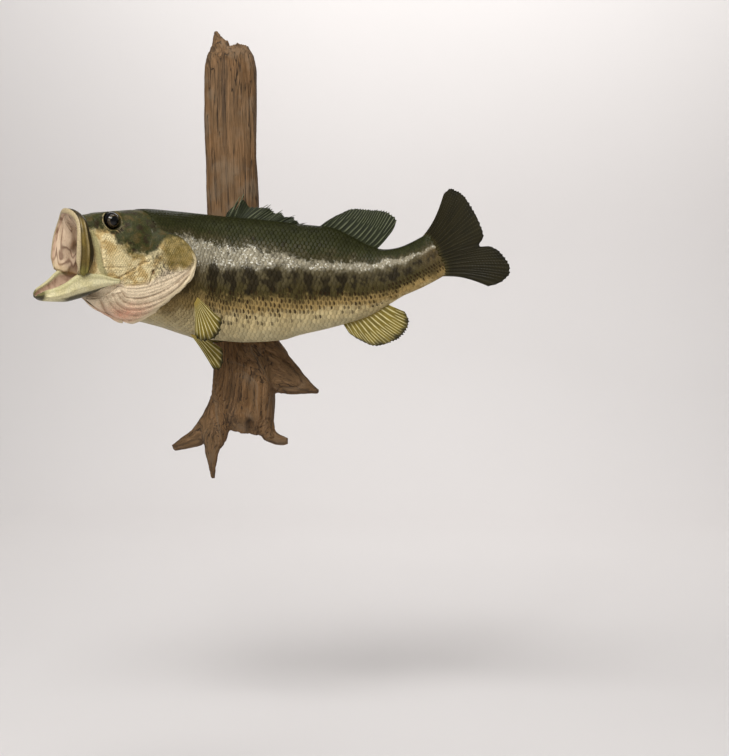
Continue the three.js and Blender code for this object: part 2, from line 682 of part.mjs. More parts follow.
PARTS.push(["driftwood", clearOf(driftwood(), PARTS.map(([, solid]) => solid)), FINISH.wood]);

/** A named mesh with flat-shaded faces from a solid. */
function meshOf(name, solid, finish) {
  const { vertProperties, triVerts, numProp } = solid.getMesh();
  const positions = [...triVerts].flatMap((i) => [...vertProperties.slice(i * numProp, i * numProp + 3)]);
  const geometry = new THREE.BufferGeometry();
  geometry.setAttribute("position", new THREE.Float32BufferAttribute(positions, 3));
  geometry.computeVertexNormals();
  const mesh = new THREE.Mesh(geometry, new THREE.MeshStandardMaterial(finish));
  mesh.name = name;
  return mesh;
}

const mount = new THREE.Group();
mount.name = "mounted_bass";
for (const [name, solid, finish] of PARTS) mount.add(meshOf(name, solid, finish));

export default mount;
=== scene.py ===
"""A life-size mounted largemouth bass on its piece of driftwood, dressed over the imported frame.

The straight fish is drawn first, in millimetres: station s runs from the upper lip towards the tail,
y across (negative is the fish's left) and z up. The spine then bends it into its pose.
"""

import logging
from collections.abc import Callable, Sequence
from dataclasses import dataclass, field
from enum import Enum

import bmesh
import bpy
import numpy as np
from bmesh.types import BMesh
from bpy.types import Material, Object
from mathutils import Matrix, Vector, noise

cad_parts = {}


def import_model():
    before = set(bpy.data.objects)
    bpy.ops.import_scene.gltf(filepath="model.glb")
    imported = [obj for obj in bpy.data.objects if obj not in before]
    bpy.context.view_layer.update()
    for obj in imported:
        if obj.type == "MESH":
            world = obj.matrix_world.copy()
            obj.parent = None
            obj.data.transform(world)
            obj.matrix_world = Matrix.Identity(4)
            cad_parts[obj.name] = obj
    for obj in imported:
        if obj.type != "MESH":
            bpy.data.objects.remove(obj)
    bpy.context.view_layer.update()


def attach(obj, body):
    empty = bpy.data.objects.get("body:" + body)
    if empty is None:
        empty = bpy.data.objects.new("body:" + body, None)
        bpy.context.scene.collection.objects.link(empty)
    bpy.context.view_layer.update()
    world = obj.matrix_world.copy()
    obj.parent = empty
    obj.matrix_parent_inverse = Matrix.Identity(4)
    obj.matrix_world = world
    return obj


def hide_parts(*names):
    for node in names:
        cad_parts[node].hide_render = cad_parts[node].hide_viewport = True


logging.basicConfig(level=logging.INFO, format="%(name)s: %(message)s")
log = logging.getLogger("bass")

MM = 0.001  # millimetres to metres
CM = 0.1  # millimetres to centimetres, the unit of the body's own coordinates in materials
SEAM = 2e-5  # metres within which the corners of a seam are one
Array = np.ndarray


class Slot(Enum):
    """The record's material slots."""

    SKIN = "skin"
    JAW = "jaw"
    GILL = "gill"
    MOUTH = "mouth"
    EYE = "eye"
    DARK_FIN = "dark_fin"
    PALE_FIN = "pale_fin"
    WOOD = "wood"


class Side(Enum):
    """The fish's sides; the value is the sign of the left one, which faces the room."""

    LEFT = 1
    RIGHT = -1


# ---------------------------------------------------------------- small tools
def smoothstep(value: Array | float, low: float, high: float) -> Array:
    """Rises smoothly from 0 at low to 1 at high."""
    share = np.clip((np.asarray(value, float) - low) / (high - low), 0, 1)
    return share * share * (3 - 2 * share)


def fall(value: Array | float, low: float, high: float) -> Array:
    """Falls smoothly from 1 at low to 0 at high."""
    return 1 - smoothstep(value, low, high)


def rounded_end(distance: Array, reach: float, least: float = 0.0) -> Array:
    """Thickness towards an end, as the root of the distance from it: 1 from reach on."""
    return np.sqrt(np.clip(distance / reach, least, 1))


def power(value: Array, exponent: Array | float) -> Array:
    """Raises to a power with the sign kept, for squarer or sharper ovals."""
    return np.sign(value) * np.abs(value) ** exponent


def lerp(start: Array | float, end: Array | float, share: Array | float) -> Array:
    """Goes from start to end by a share."""
    return start + (end - start) * share


def hump(value: Array, centre: float, width: float) -> Array:
    """A smooth bump of height 1."""
    return np.exp(-(((value - centre) / width) ** 2))


def stack(*parts: Array | float) -> Array:
    """Puts coordinates side by side as rows of points."""
    return np.stack(np.broadcast_arrays(*[np.asarray(part, float) for part in parts]), axis=-1)


def unit(vectors: Array) -> Array:
    """Brings vectors to length 1."""
    return vectors / np.maximum(np.linalg.norm(vectors, axis=-1, keepdims=True), 1e-9)


def lengths(line: Array) -> Array:
    """Distance along a line at each of its points."""
    return np.concatenate([[0], np.cumsum(np.linalg.norm(np.diff(line, axis=0), axis=1))])


def ripple(points: Array, scale: float, octaves: int = 3) -> Array:
    """Steady fractal noise at each point.

    Args:
        points: Points, one row each.
        scale: How many swells there are to the unit.
        octaves: How many finer layers are added.

    Returns:
        Values of about -1 to 1.
    """
    return np.array([noise.fractal(Vector(p) * scale, 1.0, 2.0, octaves) for p in points])


class SmoothCurve:
    """A smooth curve through pairs of station and value: a cubic that never overshoots."""

    def __init__(self, *pairs: tuple[float, float]) -> None:
        """Takes the pairs in order of station."""
        self.x, self.y = np.array(pairs, float).T
        rise = np.diff(self.y) / np.diff(self.x)
        before, after = rise[:-1], rise[1:]
        same = before * after > 0
        self.slope = np.zeros(len(self.x))
        self.slope[1:-1][same] = 2 * before[same] * after[same] / (before + after)[same]

    def __call__(self, station: Array | float) -> Array:
        """Reads the curve at stations."""
        at = np.clip(np.asarray(station, float), self.x[0], self.x[-1])
        i = np.clip(np.searchsorted(self.x, at, side="right") - 1, 0, len(self.x) - 2)
        width = self.x[i + 1] - self.x[i]
        t = (at - self.x[i]) / width
        bend = (1 - t) ** 2 * t * self.slope[i] - t * t * (1 - t) * self.slope[i + 1]
        return lerp(self.y[i], self.y[i + 1], t * t * (3 - 2 * t)) + bend * width


# ---------------------------------------------------------------- the fish's form
@dataclass
class Pose:
    """The spine that bends the straight fish into its pose."""

    head_turn: float = np.radians(41)
    head_roll: float = np.radians(6)
    tail_turn: float = np.radians(22)
    tail_lift: float = np.radians(28)
    rest: tuple[float, float, float, float] = (238, 35, -76, -3)
    start: int = -60
    end: int = 640
    roll_height: float = 30

    def __post_init__(self) -> None:
        """Adds up the spine, one millimetre at a time."""
        turn, lift = self.heading(np.arange(self.start, self.end) + 0.5)
        step = stack(np.cos(turn) * np.cos(lift), np.sin(turn) * np.cos(lift), np.sin(lift))
        spine = np.vstack([np.zeros(3), np.cumsum(step, axis=0)])
        station, *spot = self.rest
        self.spine = spine + np.array(spot) - spine[int(station) - self.start]

    def heading(self, s: Array) -> tuple[Array, Array]:
        """Gives the turn and the lift of the body's axis at stations."""
        turn = self.head_turn * fall(s, 108, 253) - self.tail_turn * smoothstep(s, 308, 500)
        return turn, self.tail_lift * smoothstep(s, 358, 478)

    def place(self, points: Array) -> Array:
        """Moves points of the straight fish to their place.

        Args:
            points: Rows of (s, y, z) in millimetres.

        Returns:
            Rows of (x, y, z) in metres, in the row frame.
        """
        s, y, z = np.moveaxis(np.asarray(points, float), -1, 0)
        roll = self.head_roll * fall(s, 20, 110)
        rise = z - self.roll_height
        across = y * np.cos(roll) - rise * np.sin(roll)
        up = self.roll_height + y * np.sin(roll) + rise * np.cos(roll)
        stations = np.arange(self.start, self.end + 1)
        axis = stack(*[np.interp(s, stations, self.spine[:, k]) for k in range(3)])
        turn, lift = self.heading(s)
        sideways = stack(-np.sin(turn), np.cos(turn), 0)
        upwards = stack(-np.cos(turn) * np.sin(lift), -np.sin(turn) * np.sin(lift), np.cos(lift))
        return (axis + sideways * across[..., None] + upwards * up[..., None]) * MM


class BodyForm:
    """The body's outline, girth and markings' coordinates along the straight fish."""

    top = SmoothCurve(
        (-4, 66), (6, 71), (20, 75), (48, 79.5), (80, 84), (110, 86.5), (155, 85), (205, 81), (260, 76),
        (310, 70), (345, 66), (372, 55), (403, 40), (426, 31), (457, 25.5), (486, 24),
    )
    low = SmoothCurve(
        (0, -16), (20, -26), (41, -38), (60, -46), (78, -51), (95, -54), (125, -61), (165, -73), (205, -78.5),
        (235, -80.5), (280, -78), (306, -71), (345, -62), (387, -49.5), (415, -37), (435, -32), (486, -33.5),
    )
    half = SmoothCurve(
        (0, 30), (20, 35), (48, 38), (84, 42), (125, 45), (165, 46), (205, 45), (260, 42), (310, 35),
        (350, 28), (400, 19), (440, 13), (486, 7), (493, 2.5),
    )
    middle = SmoothCurve((0, 8), (100, 10), (200, 4), (300, 0), (486, -4))
    back_square = SmoothCurve((0, 0.86), (60, 0.8), (110, 0.9), (170, 1), (486, 1))
    cheek_low = SmoothCurve((6, 3), (24, 1), (52, -9), (84, -24))
    palate = SmoothCurve((6, 59), (30, 50), (60, 40), (84, 34))
    side_line = SmoothCurve((100, 42), (150, 34), (205, 23), (260, 14), (310, 9), (400, 1), (486, -4))
    cheek_share = 0.62
    cheek_wall = 7.0
    lip_half = 38.5
    lip_height = 65
    lip_foot = 12

    def point(self, s: Array, angle: Array, lift: Array | float = 0.0) -> Array:
        """A point of the body's oval.

        Args:
            s: Stations.
            angle: From the back, 0, over the fish's left to the belly, pi; negative over its right.
            lift: How far the point stands off the oval.

        Returns:
            Rows of (s, y, z).
        """
        s, angle = np.broadcast_arrays(np.asarray(s, float), np.asarray(angle, float))
        middle = self.middle(s)
        rise = np.where(np.cos(angle) > 0, self.top(s) - middle, middle - self.low(s))
        half = self.half(s)
        spot = stack(
            s, -half * power(np.sin(angle), self.back_square(s)), middle + rise * power(np.cos(angle), 0.96)
        )
        outward = unit(stack(0, -rise * np.sin(angle), half * np.cos(angle)))
        return spot + outward * np.asarray(lift, float)[..., None]

    def angle_at(self, s: Array, z: Array) -> Array:
        """The oval's angle at a height."""
        return np.arccos(power(np.clip(self.height_share(s, z), -1, 1), 1 / 0.96))

    def lip_line(self, s: Array, angle: Array) -> tuple[Array, Array]:
        """Points of the upper lip's arch at an angle from its top, and the ways out from them."""
        centre = stack(
            s,
            -self.lip_half * power(np.sin(angle), 0.8),
            self.lip_foot + self.lip_height * power(np.cos(angle), 0.8),
        )
        return centre, unit(stack(0, -np.sin(angle) * self.lip_height, np.cos(angle) * self.lip_half))

    def lip_arch(self, share: Array, drop: Array) -> Array:
        """A point just inside the upper lip, which the head's front edge grows into.

        Args:
            share: Of the way from the top over the outer side, then back up inside.
            drop: How far it lies inside the lip's middle line.

        Returns:
            Rows of (s, y, z), on the fish's left.
        """
        outside = share / self.cheek_share
        inside = (1 - share) / (1 - self.cheek_share)
        reach = 93 * np.clip(np.minimum(outside, inside), 0, 1)
        edge = np.interp(reach, (0, 40, 70, 95), (-1.5, 2.5, 0.0, -1.0))
        centre, outward = self.lip_line(edge, np.radians(reach))
        return centre - outward * np.asarray(drop, float)[..., None]

    def head_point(
        self, s: Array, share: Array, side: Array, lift: Array | float = 0.0
    ) -> tuple[Array, Array]:
        """A point of the head's section, which is an arch as far as the mouth is open.

        Args:
            s: Stations.
            share: Of the way from the back to the belly, or to the middle of the palate.
            side: 1 on the fish's left and -1 on its right.
            lift: How far the outer side stands off.

        Returns:
            Rows of (s, y, z), and how far each point belongs to the mouth's lining, 0 to 1.
        """
        whole = self.point(s, np.pi * share, lift)
        opened = fall(s, 62, 82)
        middle = self.middle(s)
        edge = np.arccos(np.maximum(-0.55, (self.cheek_low(s) - middle) / (middle - self.low(s))))
        rim = self.point(s, edge)
        outer = self.point(s, edge * np.minimum(share / self.cheek_share, 1), lift)
        inward = np.clip((share - self.cheek_share) / (1 - self.cheek_share), 0, 1) * np.pi / 2
        inner = stack(
            s,
            (rim[..., 1] + self.cheek_wall) * np.clip(np.cos(inward), 0, 1) ** 0.7,
            lerp(rim[..., 2], self.palate(s), np.sin(inward) ** 0.9),
        )
        inside = share > self.cheek_share
        arch = np.where(inside[..., None], inner, outer)
        lip = self.lip_arch(share, np.where(inside, 3.4, 0.6))
        arch = lerp(lip, arch, smoothstep(s, -2, 15)[..., None])
        spot = lerp(whole, arch, opened[..., None])
        spot[..., 1] *= side
        return spot, opened * smoothstep(share, self.cheek_share - 0.03, self.cheek_share + 0.04)

    def height_share(self, s: Array, z: Array) -> Array:
        """Height on the body as a share: 1 at the back, 0 at the widest part and -1 at the belly."""
        middle = self.middle(s)
        rise = z - middle
        return np.where(rise > 0, rise / (self.top(s) - middle), rise / (middle - self.low(s)))


FORM = BodyForm()
POSE = Pose()
EYE_S, EYE_Z, EYE_RADIUS = 48.5, 69.0, 10.2  # station and height of the eyes' middles, and their size


def from_eye(s: Array, z: Array) -> Array:
    """Distance from the eye's middle, in the eye's radii."""
    return np.hypot(s - EYE_S, z - EYE_Z) / EYE_RADIUS


def oval(
    s: Array, z: Array, centre: tuple[float, float], size: tuple[float, float], edge: float = 1.0
) -> Array:
    """A soft oval patch of height 1 on the fish's side."""
    return hump(np.hypot((s - centre[0]) / size[0], (z - centre[1]) / size[1]), 0, edge)


# ---------------------------------------------------------------- where the markings lie
def rounded(points: Sequence[tuple[float, float]], times: int = 2) -> Array:
    """Cuts the corners off a line until it runs smoothly."""
    line = np.array(points, float)
    for _ in range(times):
        near, far = lerp(line[:-1], line[1:], 0.25), lerp(line[:-1], line[1:], 0.75)
        line = np.vstack([line[:1], np.stack([near, far], 1).reshape(-1, 2), line[-1:]])
    return line


class Crease:
    """A fold in the head's skin, along stations and heights."""

    def __init__(self, line: Sequence[tuple[float, float]], depth: float = 0.8, width: float = 0.9) -> None:
        """Smooths the line and keeps the fold's size."""
        self.line, self.depth, self.width = rounded(line), depth, width

    def away(self, s: Array, z: Array, reach: float = 9.0) -> Array:
        """Distance from the fold, as far as it matters."""
        nearest = np.full(np.shape(s), 1e3)
        low, high = self.line.min(axis=0) - reach, self.line.max(axis=0) + reach
        near = (s > low[0]) & (s < high[0]) & (z > low[1]) & (z < high[1])
        x, y = s[near], z[near]
        least = np.full(x.shape, 1e3)
        for (a, b), (c, d) in zip(self.line, self.line[1:]):
            share = np.clip(((x - a) * (c - a) + (y - b) * (d - b)) / ((c - a) ** 2 + (d - b) ** 2), 0, 1)
            least = np.minimum(least, np.hypot(x - lerp(a, c, share), y - lerp(b, d, share)))
        nearest[near] = least
        return nearest


SKIRT = (
    ((50, -5), (60, -9), (76, -10), (96, -5), (122, 4), (152, 19)),
    ((56, -17), (62, -24), (76, -26), (96, -22), (120, -9), (150, 14)),
    ((52, -18), (58, -28), (70, -33), (90, -32), (112, -22), (142, 2)),
    ((46, -19), (54, -33), (68, -40), (86, -39), (106, -30), (132, -10)),
    ((40, -22), (50, -36), (64, -45), (82, -47), (98, -40), (118, -26)),
    ((34, -25), (44, -40), (58, -50), (76, -53), (90, -48), (106, -38)),
)


def skirt_folds() -> tuple[Crease, ...]:
    """The soft folds of the gill cover's skirt: the main ones and fainter ones between."""
    lines = [np.array(line, float) for line in SKIRT]
    folds = [Crease(line, 0.8, 1.25) for line in lines[1:]]
    for k, (upper, lower) in enumerate(zip(lines, lines[1:])):
        for share in (0.26, 0.5, 0.76):
            line = lerp(upper, lower, share + 0.05 * np.sin(k * 2.1))
            folds.append(Crease(line, 0.36 + 0.14 * np.sin(k * 3 + share * 9), 0.95))
    return tuple(folds)


CREASES = (
    Crease(((47, -1), (56, 4), (66, 8), (72, 14), (80, 18), (88, 20)), 0.8, 1.0),
    Crease(((50, -4), (58, -8), (70, -9.5), (86, -8.5)), 0.75, 0.9),
    Crease(((88, -6), (90, 3), (92, 8.5)), 0.9, 0.9),
    Crease(((92, 8.5), (95, 1), (98, -9)), 0.9, 0.9),
    Crease(((19, 8), (30, 2), (40, -3)), 0.7, 0.8),
    Crease(((24, 2), (34, -3), (44, -6)), 0.4, 0.7),
    Crease(((33, 13), (45, 14), (60, 12), (70, 6)), 0.35, 1.0),
    Crease(((17, 54), (19, 44), (20, 30), (21, 14)), 0.7, 0.9),
    Crease(((21, 52), (28, 50), (29, 38), (30, 24), (33, 12)), 0.45, 0.9),
    Crease(((34, 56), (44, 53), (56, 54)), 0.5, 0.8),
    *skirt_folds(),
)
STRIPE = Crease(((19, 54), (23, 42), (25, 30), (27, 16), (33, 5)))
BACK_SPOTS = (
    (185, 58), (212, 52), (228, 44), (265, 58), (290, 41), (312, 41), (335, 43), (250, 49), (352, 34),
    (380, 27),
)


class Markings:
    """Where the fish's colours lie, shared by the skin, the scales and the gill covers."""

    back_edge = SmoothCurve(
        (90, 52), (130, 51), (160, 48), (200, 43), (240, 39), (280, 31), (320, 23), (360, 20), (400, 17),
        (430, 13), (460, 9), (486, 7),
    )
    silver_depth = SmoothCurve(
        (150, 36), (200, 34), (250, 27), (290, 17), (330, 11), (400, 9), (440, 6), (486, 4)
    )
    flank_low = SmoothCurve(
        (150, -14), (200, -20), (300, -21), (360, -20), (410, -21), (450, -21), (486, -22)
    )
    gold_low = SmoothCurve((150, -40), (230, -48), (300, -44), (360, -37), (410, -33), (450, -33), (486, -35))
    blotch = SmoothCurve(
        (150, -2), (165, -1), (190, 0), (222, 1), (248, 2), (276, 3), (302, 4), (320, 5), (342, 6), (362, 7),
        (380, 8), (394, 9), (415, 10), (431, 11), (450, 12), (467, 13), (482, 14),
    )
    blotch_low = SmoothCurve(
        (160, -14), (190, -19), (222, -20), (276, -23), (342, -25), (362, -19), (431, -13), (486, -12)
    )
    blotch_high = SmoothCurve(
        (160, 12), (190, 21), (222, 10), (248, 17), (276, 14), (302, 11), (342, 6), (431, 1), (486, -2)
    )
    dark_edge = SmoothCurve(
        (-6, 60), (10, 57), (20, 55), (34, 52), (42, 47), (50, 38), (58, 29), (66, 25), (80, 22), (88, 22),
        (96, 28), (104, 38), (112, 43), (150, 44), (160, 46), (180, 47),
    )
    flesh_edge = SmoothCurve((30, -6), (50, -5), (60, -8), (85, -8), (95, 0), (108, 6), (130, 10), (158, 23))

    def wander(self, s: Array, z: Array, spots: Array) -> tuple[Array, Array]:
        """Stations and heights moved a little by noise, so that no marking has an even edge."""
        fine = 1.5 * ripple(spots + 90, 0.16, 2)
        return s + 6.0 * ripple(spots + 20, 0.05) + fine, z + 5.0 * ripple(spots + 300, 0.05) + fine

    def level(self, s: Array, z: Array) -> Array:
        """Height among the body's colours: 0 at the belly, a fifth more at each edge, 1 at the back's top."""
        back = self.back_edge(s)
        silver = back - self.silver_depth(s)
        marks = [FORM.low(s) - 2, self.gold_low(s), self.flank_low(s), silver, back, FORM.top(s) + 1]
        return sum(np.clip((z - a) / (b - a), 0, 1) for a, b in zip(marks, marks[1:])) / 5

    def blotches(self, s: Array, z: Array, spots: Array) -> Array:
        """The row of dark blotches along the side, with specks above it and spots on the back."""
        rough = ripple(spots + 200, 0.13)
        phase = self.blotch(s + 4 * rough)
        wave = 0.5 + 0.5 * np.cos(2 * np.pi * phase)
        strength = 1.0 + 0.28 * np.sin(np.round(phase) * 2.7 + 1)
        low, high = self.blotch_low(s) + 3 * np.sin(np.round(phase) * 5.1), self.blotch_high(s)
        inside = smoothstep(z, low - 2, low + 7) * fall(z, high - 8, high + 6)
        linked = 0.42 * hump(z, 3, 10) + 0.35 * smoothstep(s, 385, 440)
        row = inside * smoothstep(strength * wave + linked + 0.5 * rough, 0.25, 1.0) * smoothstep(s, 166, 184)
        band = smoothstep(z, -16, 2) * fall(z - self.back_edge(s), 0, 10) * smoothstep(s, 160, 182)
        speck = 0.5 * band * smoothstep(ripple(spots + 60, 0.24, 2), 0.08, 0.4)
        speck = speck * (1 - smoothstep(s, 300, 380) * 0.5)
        back = sum(hump(np.hypot(s - a, (z - b) * 1.2) + 2 * rough, 0, 2.6) for a, b in BACK_SPOTS)
        return np.maximum(np.maximum(row, speck), 0.8 * np.minimum(back, 1))

    def layers(self, spots: Array, cover: bool = False) -> dict[str, Array]:
        """The attributes that carry the markings.

        Args:
            spots: Rows of (s, y, z) of the straight fish.
            cover: Whether they all belong to the head, as the gill covers do.

        Returns:
            "tone": body level, blotch and how far it is head; "face": dark, olive and stripe; "flesh": flesh,
            pink and brown, the brown also carrying painted shade behind the gill covers; "line": crease,
            which is how much painted shade falls in the folds, gold, with a painted highlight cut out on the
            cheek, and grey.
        """
        s0, z0 = spots[..., 0], spots[..., 2]
        s, z = self.wander(s0, z0, spots)
        head = np.where(z0 > 42, fall(s, 92, 150), fall(s0, 88, 100))
        head = np.ones_like(s) if cover else lerp(fall(s0, 88, 100), head, smoothstep(z0, 36, 50))
        dark = smoothstep(z - self.dark_edge(s), -5, 9)
        mottle = hump(s, 96, 12) * hump(z, 27, 12)
        dark = np.maximum(dark, 0.6 * mottle)
        green = oval(s0, z0, (56, 38), (9, 5)) + oval(s0, z0, (73, 27), (13, 4.5))
        dark = dark * (1 - 0.6 * np.minimum(green, 1))
        # Thin pale folds round the eye.
        away = from_eye(s0, z0)
        outer = (0.6 * hump(away, 1.42, 0.05) + 0.4 * hump(away, 1.62, 0.05)) * (z0 < 66)
        dark = dark * (1 - 0.5 * np.maximum(hump(away, 1.2, 0.06), outer))
        olive = np.maximum(smoothstep(s, 96, 112) * smoothstep(z, 6, 20), 0.8 * np.minimum(green, 1))
        stripe = fall(STRIPE.away(s0, z0), 2.2, 5.5)
        flesh = fall(z - self.flesh_edge(s), -3, 5)
        pink = oval(s, z, (66, -43), (26, 11), 0.9)
        brown = oval(s0, z0, (24, -21), (14, 8), 0.9)
        # Painted shade behind the gill cover's rear edge, fading towards the belly, and a brown patch low at
        # the tail's root; only the skin and scales, not the covers, take them into the brown.
        behind = hump(s0, 128, 34) * smoothstep(s0, 88, 100) * fall(z0, 14, 34)
        behind = behind * (1 - 0.75 * smoothstep(-z0, 38, 62))
        if not cover:
            behind = np.maximum(behind, 0.8 * smoothstep(s0, 458, 485) * fall(z0, -2, 10))
            brown = np.maximum(brown, behind * (0.8 + 0.4 * ripple(spots + 7, 0.06)))
        gold = smoothstep(ripple(spots + 40, 0.08, 4), -0.4, 0.45)
        # Painted highlight: the gold is taken out round (50, 20), so the cheek is pale cream there.
        gold = gold * (1 - 0.8 * oval(s, z, (50, 20), (1, 1), 13))
        grey = hump(s, 106, 18) * hump(z, 9, 12)
        # How much painted shade falls in each fold of the skin, and in a spot at (92, 6).
        crease = np.zeros_like(s)
        for fold in CREASES:
            crease = np.maximum(crease, fold.depth * hump(fold.away(s0, z0), 0, fold.width))
        crease = np.maximum(crease, 1.6 * hump(np.hypot(s0 - 92, (z0 - 6) * 0.6), 0, 2.0))
        return {
            "tone": stack(self.level(s, z), self.blotches(s, z, spots), head),
            "face": stack(dark, olive, stripe),
            "flesh": stack(flesh, pink, brown),
            "line": stack(crease, gold, grey),
        }

    def fold_depth(self, s: Array, z: Array) -> Array:
        """How deep the creases cut, with a soft swelling on either side."""
        depth = np.zeros_like(s)
        for fold in CREASES:
            away = fold.away(s, z)
            swell = 0.4 * hump(away, fold.width * 2.4, fold.width * 1.3)
            depth += fold.depth * (hump(away, 0, fold.width) - swell)
        return depth


MARKINGS = Markings()


# ---------------------------------------------------------------- meshes
@dataclass
class Weave:
    """Corners of a woven surface: their places in metres and further vectors kept as attributes."""

    place: Array
    layers: dict[str, Array] = field(default_factory=dict)


def woven(columns: int, rows: int, shape: Callable[[Array, Array], Weave]) -> BMesh:
    """Makes a grid and moves its corners to a surface.

    Args:
        columns: Steps along the grid.
        rows: Steps across it.
        shape: Gives the corners' places from their shares along and across, 0 to 1.

    Returns:
        The surface, with its attributes.
    """
    bm = bmesh.new()
    bmesh.ops.create_grid(bm, x_segments=columns, y_segments=rows, size=0.5)
    spots = np.array([vert.co for vert in bm.verts]) + 0.5
    weave = shape(spots[:, 0], spots[:, 1])
    for vert, spot in zip(bm.verts, weave.place):
        vert.co = spot
    for name, values in weave.layers.items():
        layer = bm.verts.layers.float_vector.new(name)
        for vert, value in zip(bm.verts, values):
            vert[layer] = value
    return bm


def closed(columns: int, rows: int, shape: Callable[[Array, Array], Weave]) -> BMesh:
    """Weaves a tube, merges its seam, closes its ends and turns its faces outwards."""
    bm = woven(columns, rows, shape)
    bmesh.ops.remove_doubles(bm, verts=bm.verts, dist=SEAM)
    rims = [edge for edge in bm.edges if edge.is_boundary]
    if rims:
        filled = bmesh.ops.holes_fill(bm, edges=rims, sides=0)
        bmesh.ops.triangulate(bm, faces=filled["faces"])
    bmesh.ops.recalc_face_normals(bm, faces=bm.faces)
    return bm


def body_layers(spots: Array, lining: Array | float = 0.0) -> dict[str, Array]:
    """Attributes that carry the fish's own coordinates into its materials.

    Args:
        spots: Rows of (s, y, z) of the straight fish.
        lining: How far each corner is mouth lining.

    Returns:
        The attributes "form", in centimetres, and "girth": height share and lining.
    """
    s, _, z = np.moveaxis(spots, -1, 0)
    return {"form": spots * CM, "girth": stack(FORM.height_share(s, z), lining, 0)}


def placed(name: str, data: bpy.types.ID) -> Object:
    """Puts a new object into the scene."""
    made = bpy.data.objects.new(name, data)
    bpy.context.scene.collection.objects.link(made)
    return made


def keep_vectors(mesh: bpy.types.Mesh, name: str, values: Array) -> None:
    """Keeps a vector for each corner as an attribute."""
    layer = mesh.attributes.new(name, "FLOAT_VECTOR", "POINT")
    layer.data.foreach_set("vector", values.astype(np.float32).ravel())


def joined(parts: Sequence[BMesh]) -> BMesh:
    """Joins several meshes into one."""
    whole = bmesh.new()
    for part in parts:
        mesh = bpy.data.meshes.new("part")
        part.to_mesh(mesh)
        part.free()
        whole.from_mesh(mesh)
        bpy.data.meshes.remove(mesh)
    return whole


def piece(bm: BMesh, name: str, material: Material, slot: Slot, *nodes: str) -> Object:
    """Turns a mesh into a finished piece that rides on the frame.

    Args:
        bm: The mesh, in place, in metres.
        name: The piece's name.
        material: Its finish.
        slot: Not used.
        nodes: The CAD nodes that it stands for.

    Returns:
        The piece.
    """
    mesh = bpy.data.meshes.new(name)
    bm.to_mesh(mesh)
    bm.free()
    return shown(mesh, name, material, slot, *nodes)


def shown(mesh: bpy.types.Mesh, name: str, material: Material, slot: Slot, *nodes: str) -> Object:
    """Shows a mesh as a smooth, dressed piece that rides on the frame, with the arguments of piece()."""
    mesh.materials.clear()
    mesh.materials.append(material)
    mesh.polygons.foreach_set("use_smooth", np.ones(len(mesh.polygons), bool))
    made = placed(name, mesh)
    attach(made, "root")
    if nodes:
        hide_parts(*nodes)
    triangles = sum(len(face.vertices) - 2 for face in mesh.polygons)
    log.info("%s: %d triangles", name, triangles)
    return made


# ---------------------------------------------------------------- finishes
Socket = bpy.types.NodeSocket
Value = Socket | float
Tint = Socket | str | tuple[float, float, float, float]


def tint(code: str) -> tuple[float, float, float, float]:
    """Turns a paint code such as "8a6f3c" into the shader's own colour values."""
    parts = [int(code[i : i + 2], 16) / 255 for i in (0, 2, 4)]
    red, green, blue = [c / 12.92 if c <= 0.04045 else ((c + 0.055) / 1.055) ** 2.4 for c in parts]
    return red, green, blue, 1.0


